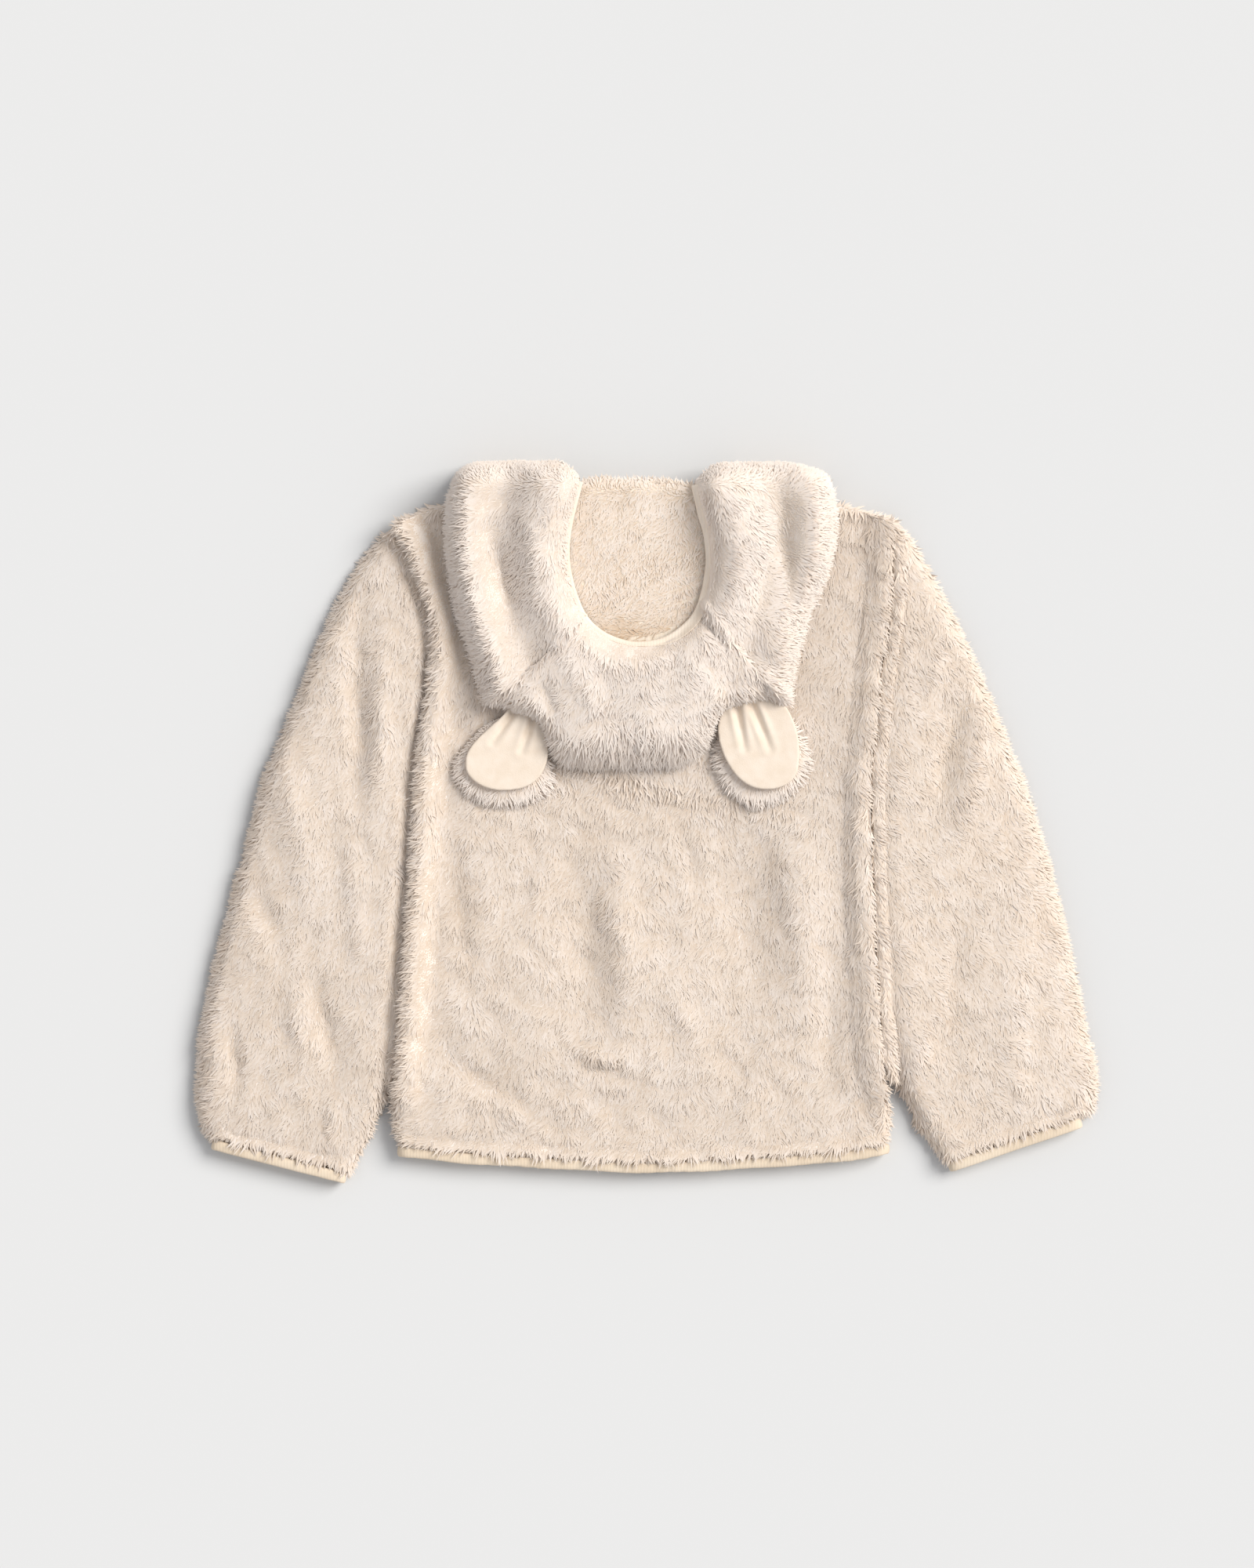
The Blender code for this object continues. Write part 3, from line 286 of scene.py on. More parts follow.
def beside(start, end, x, y):
    """How far along a stretch a place is, as a share, and how far it is from it."""
    (ax, ay), (bx, by) = start, end
    sx, sy = bx - ax, by - ay
    t = min(max(((x - ax) * sx + (y - ay) * sy) / (sx * sx + sy * sy), 0.0), 1.0)
    return t, math.hypot(x - ax - sx * t, y - ay - sy * t)


def nearest_on(line, x, y):
    """How far a place is from a line of points."""
    return min(beside(a, b, x, y)[1] for a, b in zip(line, line[1:]))


def ease(t):
    """0 below 0, 1 above 1, with an even slope between."""
    t = min(max(t, 0.0), 1.0)
    return t * t * (3 - 2 * t)


def past(value, start, width):
    """How far a value is past start: 1 from a width on. A negative width goes the other way."""
    return ease((value - start) / width)


def turned_past(start, width):
    """How much pile a face grows: all of it where its normal's Z is past start by width."""
    return lambda normal: past(normal.z, start, width)


def cloth_shell(name, node_name, outer, folds, covers, meets=None, seams=(), tucked=0.0, levels=2):
    """The knitted ground of a piece: its solid made finer, with its folds pressed in.

    outer(normal) is 1 on the side with pile. Where cloth in covers lies close above, the
    attribute cover is 0 and no pile grows. meets(place, normal) is how far the cloth moves
    to meet the piece beside it. Each of the seams is a line, along which it keeps its height,
    and how far it grows to the side. tucked is how far it sinks where cloth covers it.
    """
    obj = finer_copy(name, node_name, levels)
    mesh = obj.data
    above = solid_tree(covers)
    tops = solid_tree((*covers, node_name)) if seams else None
    own = BVHTree.FromPolygons([v.co for v in mesh.vertices], [tuple(p.vertices) for p in mesh.polygons])
    skin = [(v.co.copy(), v.normal.copy()) for v in mesh.vertices]
    cover, shade = np.zeros((2, len(skin)), np.float32)
    for k, (p, n) in enumerate(skin):
        side = outer(n)
        if side > 0 and own.ray_cast(p + n * OFF_SKIN, n, OWN_NEAR * MM)[0]:
            side = 0.0
        move = meets(p, n) if meets and side > 0 else Vector()
        look = Vector((0, 0, 1)) if move.z > 0.5 else n
        hidden = side > 0 and above.ray_cast(p + look * OFF_SKIN / 2, look, COVER_NEAR * MM)[0]
        cover[k] = 0.0 if hidden else side * (1.0 if n.z > BELOW else UNDER_COVER)
        # The fold's height also paints the pile: paler on ridges, darker in troughs, as painted light and
        # shade.
        height = fold_sum(folds, p.x / MM, p.y / MM) * max(0.0, n.z) * side
        shade[k] = FOLD_PAINTED_SHADE * height
        uneven = sum(noise.noise(p * scale) * high for scale, high in UNEVEN)
        depth = -SEAM_CLOSED if hidden and abs(n.z) < WALL else PILE_DEPTH
        if hidden:
            move = Vector()
            if n.z > TOP:
                depth += tucked
        for line, wider in seams:
            sewn = past(nearest_on(line, p.x / MM, p.y / MM), *SEWN)
            if not sewn or n.z < 0.1:
                continue
            top = tops.ray_cast(Vector((p.x, p.y, ABOVE_ALL)), Vector((0, 0, -1)))[0]
            move += Vector((n.x * wider * sewn, n.y * wider * sewn, max(0.0, (top.z - p.z) / MM) * sewn))
            n = n.lerp(Vector((0.0, 0.0, 1.0)), sewn)
            depth *= 1 - SEAM_HIGH * sewn
            cover[k] = max(cover[k], sewn)
        mesh.vertices[k].co = p + n * ((uneven - depth) * MM * side) + (move + Vector((0, 0, height))) * MM
    for key, values in (("cover", cover), ("shade", shade)):
        mesh.attributes.new(key, "FLOAT", "POINT").data.foreach_set("value", values)
    return obj


RIM = (1.3, 0.3)  # at a piece's rim its locks turn outwards, and are shorter by this share
RIM_SLOPE = (0.7, -0.5)  # the normal's Z where the rim starts, and over which change


def brush(obj, nap, bare=None):
    """Keeps how the pile lies as the attribute nap: its way, and as its length the locks' length.

    nap(x, y, z, normal) gives the way and the length; bare(x, y, z) is 0 where no pile grows.
    """
    mesh = obj.data
    turn, shorter = RIM
    ways = []
    for k, v in enumerate(mesh.vertices):
        x, y, z = v.co / MM
        dx, dy, length = nap(x, y, z, v.normal)
        rim = past(v.normal.z, *RIM_SLOPE)
        way = Vector((dx, dy, 0)).normalized() + Vector((v.normal.x, v.normal.y, 0)) * (turn * rim)
        ways.append(way.normalized() * (length * (1 - shorter * rim)))
        if bare:
            mesh.attributes["cover"].data[k].value *= bare(x, y, z)
    layer = mesh.attributes.new("nap", "FLOAT_VECTOR", "POINT")
    layer.data.foreach_set("vector", np.array(ways, np.float32).ravel())


LOCK_ROWS = (0.0, 0.45)  # where a lock has two points side by side
LOCK_TOP = 0.55  # where it would be highest


def lock_mesh(name, rise, tip, sway, width):
    """One tapered lock, 1 long from its root at the origin along x."""
    points, coordinates = [], []
    for t in LOCK_ROWS:
        z = rise * math.sin(t / LOCK_TOP * math.pi / 2)
        half = width * (0.6 + 1.5 * t) * (1 - t) ** 0.7
        for side in (-1, 1):
            points.append((t, sway * t * t + side * half, z))
            coordinates.append((0.5 + 0.5 * side, t))
    points.append((1.0, sway, tip))
    coordinates.append((0.5, 1.0))
    mesh = bpy.data.meshes.new(name)
    mesh.from_pydata(points, [], [(0, 2, 3, 1), (2, 4, 3)])
    layer = mesh.uv_layers.new(name="UVMap")
    for loop in mesh.loops:
        layer.data[loop.index].uv = coordinates[loop.vertex_index]
    mesh.shade_smooth()
    return mesh


LOCK_SHAPES = (  # rise, height of the tip, sway and half width of each kind, as shares of its length
    (0.30, 0.135, 0.16, 0.13),
    (0.26, 0.20, -0.20, 0.12),
    (0.34, 0.10, -0.08, 0.14),
    (0.22, 0.265, 0.24, 0.11),
    (0.38, 0.20, 0.05, 0.12),
    (0.28, 0.25, -0.26, 0.13),
)
locks = bpy.data.collections.new("locks")
for k, shape in enumerate(LOCK_SHAPES):
    locks.objects.link(bpy.data.objects.new(f"lock_{k}", lock_mesh(f"lock_{k}", *shape)))


def new_tree(name, sockets):
    """A Geometry Nodes tree with its named inputs, and these inputs."""
    tree = bpy.data.node_groups.new(name, "GeometryNodeTree")
    tree.interface.new_socket("Geometry", in_out="OUTPUT", socket_type="NodeSocketGeometry")
    for socket, kind in {"Geometry": "Geometry", **sockets}.items():
        tree.interface.new_socket(socket, in_out="INPUT", socket_type="NodeSocket" + kind)
    return tree, add_node(tree, "NodeGroupInput").outputs


PILE_SIZES = ("Spacing", "Length", "Width", "Height", "Turn", *PILE)
SWELLS = ((75.0, 1.7), (190.0, 0.9))  # scale and height of each layer of noise that raises the tufts
SWAYS = ((55.0, 2.8), (170.0, 2.0))  # the same, for what turns the locks
TONES = ((22.0, 0.2), (110.0, 0.4))  # and for what changes their tone
HEIGHTS = ((120.0, 1.0),)
OWN = {  # what a lock has of its own: the range, and the number that makes its draw differ
    "turn": (-0.5, 0.5, 1.0),
    "length": (0.65, 1.2, 2.0),
    "width": (0.7, 1.3, 3.0),
    "height": (0.75, 1.25, 4.0),
    "tone": (-0.12, 0.12, 6.0),
}
KIND_DRAW = 5.0
TONE_ENDS = (0.02, 0.97)
ACROSS = 0.012  # how much of the map a lock's width takes
UNDERSIDE = 0.75  # locks on ground that faces down by more than this lean down


def pile_tree():
    """Sets locks over a ground in uneven tufts, laid along its attribute nap, none where cover is 0."""
    tree, given = new_tree("pile", {"Locks": "Collection", **{size: "Float" for size in PILE_SIZES},
                                    "Seed": "Int", "Pile": "Material"})

    def made_by(kind, settings=None, inputs=None, output=0):
        return add_node(tree, kind, settings, inputs).outputs[output]

    def math_of(operation, a, b):
        return made_by("ShaderNodeMath", {"operation": operation}, {0: a, 1: b})

    def plus(a, b):
        return math_of("ADD", a, b)

    def times(a, b):
        return math_of("MULTIPLY", a, b)

    def vector(operation, a, b=None, output=0):
        inputs = {0: a} if b is None else {0: a, ("Scale" if operation == "SCALE" else 1): b}
        return made_by("ShaderNodeVectorMath", {"operation": operation}, inputs, output)

    def joined(x=0.0, y=0.0, z=0.0):
        return made_by("ShaderNodeCombineXYZ", None, {0: x, 1: y, 2: z})

    def parts(place):
        return add_node(tree, "ShaderNodeSeparateXYZ", None, {"Vector": place}).outputs

    def own(name):
        low, high, draw = OWN[name]
        seed = plus(given["Seed"], draw)
        return made_by("FunctionNodeRandomValue", None, {2: low, 3: high, "Seed": seed}, 1)

    def stored(name, kind="FLOAT"):
        return made_by("GeometryNodeInputNamedAttribute", {"data_type": kind}, {"Name": name})

    def store(geometry, name, value, kind, domain="POINT"):
        return made_by("GeometryNodeStoreNamedAttribute", {"data_type": kind, "domain": domain},
                       {"Geometry": geometry, "Name": name, "Value": value})

    def waves(layers):
        total = 0.0
        for scale, height in layers:
            wave = noise_at(tree, made_by("GeometryNodeInputPosition"), scale, 1.0)
            total = plus(total, times(plus(wave, -0.5), height))
        return total

    finer = made_by("GeometryNodeSubdivideMesh", None, {"Mesh": given["Geometry"], "Level": 1})
    raised = times(plus(waves(SWELLS), 0.5), given["Tufts"])
    offset = vector("SCALE", made_by("GeometryNodeInputNormal"), raised)
    tufted = made_by("GeometryNodeSetPosition", None, {"Geometry": finer, "Offset": offset})
    most = math_of("DIVIDE", 4.0, times(given["Spacing"], given["Spacing"]))
    spread = add_node(tree, "GeometryNodeDistributePointsOnFaces", {"distribute_method": "POISSON"},
                      {"Mesh": tufted, "Distance Min": given["Spacing"], "Density Max": most,
                       "Density Factor": stored("cover"), "Seed": given["Seed"]}).outputs

    # A lock stands along up and points along the nap. On steep ground both it and its lit side rise.
    facing = spread["Normal"]
    rising = parts(facing)["Z"]
    steep = math_of("SUBTRACT", math_of("SIGN", plus(rising, UNDERSIDE), 0.0), rising)
    up = vector("NORMALIZE", vector("ADD", facing, joined(z=times(steep, given["Lift"]))))
    flow = stored("nap", "FLOAT_VECTOR")
    lean = vector("SCALE", vector("NORMALIZE", flow), given["Tilt"])
    lit = vector("ADD", vector("ADD", facing, lean), joined(z=times(steep, given["Lit"])))
    points = store(spread["Points"], "ground", lit, "FLOAT_VECTOR")
    turn = times(plus(waves(SWAYS), own("turn")), given["Turn"])
    turned = made_by("ShaderNodeVectorRotate", {"rotation_type": "AXIS_ANGLE"},
                     {"Vector": flow, "Axis": up, "Angle": turn})
    axes = made_by("FunctionNodeAxesToRotation", {"primary_axis": "Z", "secondary_axis": "X"},
                   {0: up, 1: turned})
    long = times(times(given["Length"], own("length")), vector("LENGTH", flow, output=1))
    wide = times(given["Width"], own("width"))
    tall = times(given["Height"], plus(own("height"), waves(HEIGHTS)))
    shapes = made_by("GeometryNodeCollectionInfo", None,
                     {"Collection": given["Locks"], "Separate Children": True})
    kind = made_by("FunctionNodeRandomValue", {"data_type": "INT"},
                   {4: 0, 5: len(LOCK_SHAPES) - 1, "Seed": plus(given["Seed"], KIND_DRAW)}, 2)
    placed = made_by("GeometryNodeInstanceOnPoints", None,
                     {"Points": points, "Instance": shapes, "Pick Instance": True,
                      "Instance Index": kind, "Rotation": axes, "Scale": joined(long, wide, tall)})
    # A lock's tone: random changes, plus the painted light and shade of the folds and of the lining's lower
    # end, kept as shade.
    tone = plus(plus(plus(waves(TONES), given["Tone"]), stored("shade")), own("tone"))
    toned = store(placed, "tone", tone, "FLOAT", "INSTANCE")
    real = made_by("GeometryNodeRealizeInstances", None, {"Geometry": toned})

    # Its map holds its tone and the way from root to tip. Nothing goes below the surface.
    seen = parts(stored("UVMap", "FLOAT_VECTOR"))
    low, high = TONE_ENDS
    kept_tone = made_by("ShaderNodeClamp", None, {"Value": stored("tone"), "Min": low, "Max": high})
    place = joined(plus(kept_tone, times(seen["X"], ACROSS)), seen["Y"])
    mapped = store(real, "UVMap", place, "FLOAT2", "CORNER")
    at = parts(made_by("GeometryNodeInputPosition"))
    above = joined(at["X"], at["Y"], math_of("MAXIMUM", at["Z"], given["Lowest"]))
    pressed = made_by("GeometryNodeSetPosition", None, {"Geometry": mapped, "Position": above})
    coated = made_by("GeometryNodeSetMaterial", None, {"Geometry": pressed, "Material": given["Pile"]})
    add_node(tree, "NodeGroupOutput", None, {0: coated})
    return tree


pile_nodes = pile_tree()
SOFTNESS = 0.97  # how much a lock is shaded like the cloth under it, as light spreads through fibre


def read(items, name, width=3, kind=np.float32):
    """A property of all the items, a row for each."""
    values = np.zeros(len(items) * width, kind)
    items.foreach_get(name, values)
    return values.reshape(-1, width)


def turn_outwards(mesh, outwards):
    """Turns over the faces of locks that point into the cloth, so that none is seen from behind."""
    starts = read(mesh.polygons, "loop_start", 1, np.int32)[:, 0]
    corners = read(mesh.loops, "vertex_index", 1, np.int32)[:, 0]
    way = outwards[corners[starts]]
    way[:, 2] += np.sign(way[:, 2] + UNDERSIDE)
    inwards = np.sum(read(mesh.polygons, "normal") * way, axis=1) < 0
    turned = bmesh.new()
    turned.from_mesh(mesh)
    turned.faces.ensure_lookup_table()
    for k in np.nonzero(inwards)[0]:
        turned.faces[int(k)].normal_flip()
    turned.to_mesh(mesh)
    turned.free()


def set_inputs(modifier, tree, values):
    """Gives a Geometry Nodes modifier its tree and the tree's named inputs."""
    modifier.node_group = tree
    for item in tree.interface.items_tree:
        if item.name in values:
            modifier[item.identifier] = values[item.name]


def grow_pile(name, shell, sizes, material):
    """Grows the pile of a ground as one plain mesh. Spacing, Length, Width, Height in millimetres."""
    pile = link(bpy.data.objects.new(name, shell.data))
    values = {**PILE, **sizes}
    for key in ("Spacing", "Length", "Width", "Height", "Tufts", "Lowest"):
        values[key] *= MM
    set_inputs(modify(pile, "pile", "NODES"), pile_nodes, {**values, "Locks": locks, "Pile": material})
    applied(pile)
    mesh = pile.data
    under = read(mesh.attributes["ground"].data, "vector")
    turn_outwards(mesh, under)
    soft = SOFTNESS * under + (1 - SOFTNESS) * read(mesh.vertex_normals, "vector")
    soft /= np.maximum(np.linalg.norm(soft, axis=1, keepdims=True), 0.001)
    for extra in ("tone", "cover", "nap", "shade", "ground"):
        mesh.attributes.remove(mesh.attributes[extra])
    mesh.normals_split_custom_set_from_vertices(soft.tolist())
    return pile


def fringe_length(x, y, near):
    """How long the locks are beside a binding: uneven, in clumps about 6 mm wide."""
    broad = noise.noise(Vector((x / 9, y / 30, 5.0)))
    fine = noise.noise(Vector((x / 4, 2, 9)))
    return 1.0 + near * (0.9 * broad + 0.54 * fine - 0.12)


def back_nap(x, y, z, normal):
    """Down to the hem, leaning outwards near the left side, uneven over the hem's binding."""
    left = past(x, -108, -40)
    right = 0.45 * past(x, 116, 30)
    return -0.15 - 1.1 * left + right, -1.0, fringe_length(x, y, past(y, -188, -14))


def over_binding(name):
    """How far the pile's ground rises beside a binding, so that its fringe hangs over it."""
    trim = solid_tree((name,))

    def rise(place):
        hit = trim.find_nearest(place, BINDING_NEAR * MM)
        return 0.0 if hit[0] is None else BINDING_RISE * ease(1.15 * (1 - hit[3] / (BINDING_NEAR * MM)))

    return rise


def back_edges(place, normal):
    """Lifts the hem's fringe, and rolls the side edges down over the fronts and the sleeves."""
    out, down = EDGE_ROLL
    wall = past(normal.z, 0.8, -0.6) * past(abs(normal.x), 0.3, 0.3)
    move = Vector((normal.x * out * wall, 0, -down * wall))
    level, share = RIGHT_EDGE
    if place.x > 0 and place.z > level * MM:
        move.z -= (place.z / MM - level) * share
    if normal.z > 0:
        move.z += over_hem(place)
    return move


def stand_for(node_name, finish, *pieces):
    """The first piece replaces its CAD node, and all are part of the jacket."""
    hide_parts(node_name)
    for piece in pieces:
        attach(piece, "jacket")


def add_sherpa(shell, node_name, sizes, finish="sherpa"):
    """Grows a cloth's pile and attaches both to the jacket."""
    coat(shell, grounds[finish])
    pile = grow_pile(shell.name.replace("cloth", "pile"), shell, sizes, fibres[finish])
    stand_for(node_name, finish, shell, pile)


# The roots are darker and warmer than the tips, and the knitted ground is coloured like the roots: painted
# shade deep in the pile.
ROOT_TO_TIP = ((0.0, "#E9DCCE"), (0.30, "#EFE4DA"), (0.62, "#F2E9E1"), (1.0, "#F4EDE6"))
grounds = {"sherpa": knitted_ground("sherpa_ground", "#EFE4DA", "#E6D9CB")}
fibres = {"sherpa": curly_pile("sherpa_pile", ROOT_TO_TIP, "#DDCFBF")}

over_hem = over_binding("hem_binding")
hood_sides = ("hood_side_left", "hood_side_right")
above_back = ("hood_rear", *hood_sides, "hood_crown", "ear_left", "ear_right", "hem_binding")
upper_side = turned_past(-0.45, 0.25)
back = cloth_shell("back_cloth", "back", upper_side, BACK_FOLDS, above_back, back_edges)
brush(back, back_nap)
add_sherpa(back, "back", BACK_PILE)

# Fronts
# Two panels that lie pile down under the back, with the zip between them. The pile is
# pressed flat against the surface, so it is short and even.
FRONT_PILE = {"Spacing": 1.35, "Length": 9.5, "Width": 8.0, "Height": 0.5, "Turn": 0.7, "Seed": 11}
for side in ("left", "right"):
    front = cloth_shell("front_cloth_" + side, "front_" + side, turned_past(0.45, -0.25), (),
                        ("zip_tape_" + side, "back"), levels=1)
    brush(front, back_nap)
    add_sherpa(front, "front_" + side, FRONT_PILE)

# Sleeves
# Flattened tubes with the seam inside, sewn in at the armholes, under the body's edges.
# The nap runs from the shoulder to the cuff and turns out over the edge.
SLEEVE_FOLDS = {
    "left": (
        (-184, 74, 8, 60, -2, -3.0),
        (-168, 60, 8, 62, -4, 2.2),
        (-204, -130, 7, 34, 8, -2.8),
        (-222, -128, 8, 34, 6, 1.8),
        (-262, -150, 6, 24, 0, -2.4),
        (-222, 0, 12, 56, 12, 1.8),
        (-240, -60, 8, 40, 14, -1.5),
        (-186, -40, 8, 50, 4, 1.4),
        (-200, -190, 6, 16, -8, 1.8),
    ),
    "right": (
        (191, 44, 9, 38, -16, -2.2),
        (206, 32, 10, 42, -16, 1.8),
        (196, -96, 9, 50, -8, -1.8),
        (232, -120, 11, 46, -10, 1.8),
        (170, -150, 8, 28, -22, 2.0),
        (252, -60, 8, 44, -12, -1.3),
        (184, 110, 9, 30, -22, 1.4),
        (236, -172, 6, 18, -6, 1.6),
    ),
}
SLEEVE_PILE = {"Spacing": 1.1, "Length": 8.2, "Width": 5.2, "Height": 0.5, "Turn": 0.9, "Seed": 21}
BODY_EDGE_MIDDLE = 13.0  # a height at which the fronts' edges are hit from the side
MEET_WIDTH = 10.0
MEET_HEIGHTS = {"left": 14.0, "right": 18.5}
SLEEVE_AXIS = {"left": ((-150, 180), (-236, -205)), "right": ((158, 180), (236, -195))}


def sleeve_nap(side):
    (top_x, top_y), (end_x, end_y) = SLEEVE_AXIS[side]
    way = Vector((end_x - top_x, end_y - top_y)).normalized()
    sign = -1 if side == "left" else 1

    def nap(x, y, z, normal):
        middle = top_x + (end_x - top_x) * (top_y - y) / (top_y - end_y)
        out = past(sign * (x - middle), 15, 50)
        slant = 0.12 if side == "left" else 0.3
        return way.x + sign * (slant + 0.75 * out), way.y, fringe_length(x, y, past(y, -176, -12))

    return nap


def all_round(normal):
    return 1.0


def against_body(side):
    """How far a sleeve's cloth rises beside the body's edge, and beside its cuff."""
    beside_cuff = over_binding("cuff_binding_" + side)
    inwards = Vector((1 if side == "left" else -1, 0, 0))
    body = solid_tree(("back", "front_" + side))

    def rise(place, normal):
        if normal.z < 0.05:
            return Vector()
        hit = body.ray_cast(Vector((place.x, place.y, BODY_EDGE_MIDDLE * MM)), inwards, MEET_WIDTH * MM)
        if hit[0] is None:
            return Vector((0, 0, beside_cuff(place)))
        share = 1 - hit[3] / (MEET_WIDTH * MM)
        return Vector((0, 0, max(0.0, MEET_HEIGHTS[side] - place.z / MM) * ease(1.6 * share)))

    return rise


for side in ("left", "right"):
    sleeve = cloth_shell("sleeve_cloth_" + side, "sleeve_" + side, all_round, SLEEVE_FOLDS[side],
                         ("back", "front_" + side, "cuff_binding_" + side), against_body(side), tucked=3.0)
    brush(sleeve, sleeve_nap(side))
    add_sherpa(sleeve, "sleeve_" + side, SLEEVE_PILE)

# Hood, its rear and lining
# The rear lies on the back. Its lining is a finer, shorter curly pile, which shows through
# the face opening: it flows down from the neck and turns along the opening's edge.
LINING_PILE = {"Spacing": 0.95, "Length": 6.0, "Width": 4.4, "Height": 0.5, "Turn": 1.1, "Tone": 0.68,
               "Seed": 31}
REAR_PILE = {"Spacing": 0.8, "Length": 5.0, "Width": 4.2, "Height": 0.6, "Turn": 1.2, "Seed": 33}
# The lining's roots and knitted ground are darker too: painted shade deep in the pile.
LINING_TONES = ((0.0, "#F0DECA"), (0.30, "#F8EADC"), (0.65, "#FCF3EA"), (1.0, "#FEFAF4"))
LINING_PAINTED_SHADE = -0.5  # painted shade: the change in its pile's tone in the opening's lower end
LINING_SHADE = (140.0, -26.0)  # from here down, over this width
REAR_WAY = (-0.25, 1.0, 1.0)
NECK_ROLL = (206.0, 8.0)  # the pile turns up from here, over this width
OPENING_CENTRE = (-6.0, 168.0)

grounds["fine_pile"] = knitted_ground("lining_ground", "#F5E9D9", "#E9DAC4")
fibres["fine_pile"] = curly_pile("lining_pile", LINING_TONES, "#E2CFB5")


def lining_nap(x, y, z, normal):
    dx, dy = x - OPENING_CENTRE[0], y - OPENING_CENTRE[1]
    away = math.hypot(dx, dy)
    swirl = past(away, 12, 30) * past(y, 150, -25)
    up = past(y, *NECK_ROLL)
    down = -1.0 * (1 - swirl) - swirl * dx / 40 - 0.25
    return -0.35 * (1 - swirl) + swirl * dy / 40, down * (1 - up) + 1.2 * up, 1.0 - 0.25 * up


def lining_bare(x, y, z):
    """Only what the face opening shows grows pile."""
    return past(abs(x - OPENING_CENTRE[0]), 62, -6) * past(y, 106, 6)


rear = cloth_shell("hood_rear_cloth", "hood_rear", all_round, (),
                   ("hood_lining", "back", *hood_sides))
brush(rear, lambda *place: REAR_WAY, lambda x, y, z: past(y, 212, 4))
add_sherpa(rear, "hood_rear", REAR_PILE)

lining = cloth_shell("hood_lining_cloth", "hood_lining", upper_side, (),
                     ("hood_edge", "hood_crown", *hood_sides))
brush(lining, lining_nap, lining_bare)
# Painted shade: the lining's pile is painted darker towards the opening's lower end.
for item, v in zip(lining.data.attributes["shade"].data, lining.data.vertices):
    item.value = LINING_PAINTED_SHADE * past(v.co.y / MM, *LINING_SHADE)
add_sherpa(lining, "hood_lining", LINING_PILE, "fine_pile")

# Hood, its folded-over part
# Two side pieces and a crown, sewn together and turned down over the rear. Their pile hangs
# in longer locks at the crown's lower edge, and stops short of the lip of the face opening.
HOOD_FOLDS = {
    "hood_side_left": (
        (-94, 160, 8, 44, 8, -5.0),
        (-112, 150, 8, 50, 10, 2.0),
        (-72, 170, 10, 44, 4, 2.4),
        (-84, 96, 8, 16, -30, -2.0),
    ),
    "hood_side_right": (
        (88, 168, 8, 44, 0, -4.6),
        (66, 160, 10, 44, -8, 2.2),
        (104, 178, 7, 36, 4, 2.0),
        (64, 206, 8, 18, -20, -1.6),
        (78, 100, 8, 16, 30, -1.8),
    ),
    "hood_crown": (
        (-40, 90, 10, 26, 24, 2.2),
        (-62, 78, 7, 20, 10, -2.4),
        (30, 98, 10, 22, -26, 2.2),
        (52, 84, 7, 20, -12, -2.4),
        (0, 66, 12, 18, 4, 1.8),
        (-20, 74, 7, 20, 14, -1.8),
    ),
}
# The hood's higher Tone paints its pile paler than the back's, though both are the same sherpa: painted
# light.
HOOD_PILE = {"Spacing": 1.02, "Length": 8.5, "Width": 5.0, "Height": 0.6, "Turn": 0.9, "Tone": 0.75,
             "Seed": 41}
EAR_ROOMS = (  # the crown's edge is turned up over each ear: where, how far, over which width
    ((-74, 56), (3.5, 7.0), 14),
    ((54, 60), (-1.0, 11.0), 13),
    ((70, 67), (-1.0, 6.0), 12),
)
EAR_CENTRES = {"left": (-88, 44), "right": (74, 46)}  # beside the ears the fringe is short
LIP = (
    (-42, 219), (-49.5, 189), (-51, 168), (-47.5, 149), (-40, 131), (-28.5, 120), (-13.5, 114), (0, 113.5),
    (13.5, 117), (27, 127), (34.5, 139), (39.5, 162), (38.5, 182), (34.5, 197), (30, 217),
)
HOOD_SEAMS = (  # the lines of the seams and the lip, and how far the cloth grows to the side there
    (((-101.5, 78), (-72, 98), (-40, 131)), 1.7),
    (((34.5, 139), (62, 104), (89, 76)), 1.7),
    (LIP, 0.0),
)
FACING = (1.0, 4.2)  # how far the smooth facing shows outside the lip, left and right


def facing_width(x):
    return FACING[0] + (FACING[1] - FACING[0]) * past(x, -5, 30)


def hood_nap(x, y, z, normal):
    """Down and away from the face opening, outwards over the sides, up over the lobes."""
    side = min(max((x + 5) / 40, -1.0), 1.0)
    out = past(abs(x + 5), 55, 55)
    over = past(y, 204, 20)
    dx = side * (0.35 + (0.9 if x < 0 else 1.6) * out)
    dy = -1.0 + (0.35 if x < 0 else 0.75) * out + 1.9 * over
    beside_ear = max(ease(2.4 - math.hypot(x - ex, y - ey) / 16) for ex, ey in EAR_CENTRES.values())
    fringe = past(y, 70, -20) * (1 - beside_ear)
    length = (0.35 + 0.65 * ease(nearest_on(LIP, x, y) / 14)) * (1 + 0.7 * fringe) * (1 - 0.5 * over)
    return dx, dy, length * (1 - 0.6 * beside_ear)


def hood_bare(x, y, z):
    """No pile on the smooth facing, nor on the wall below it."""
    away = nearest_on(LIP, x, y)
    return ease(away - facing_width(x) + 0.8) * (1.0 if away > 8 else past(z, 27, 2))


def over_ears(place, normal):
    move = Vector()
    for (x, y), way, width in EAR_ROOMS:
        away = math.hypot(place.x / MM - x, place.y / MM - y)
        move += Vector((way[0], way[1], 0)) * math.exp(-((away / width) ** 2))
    return move


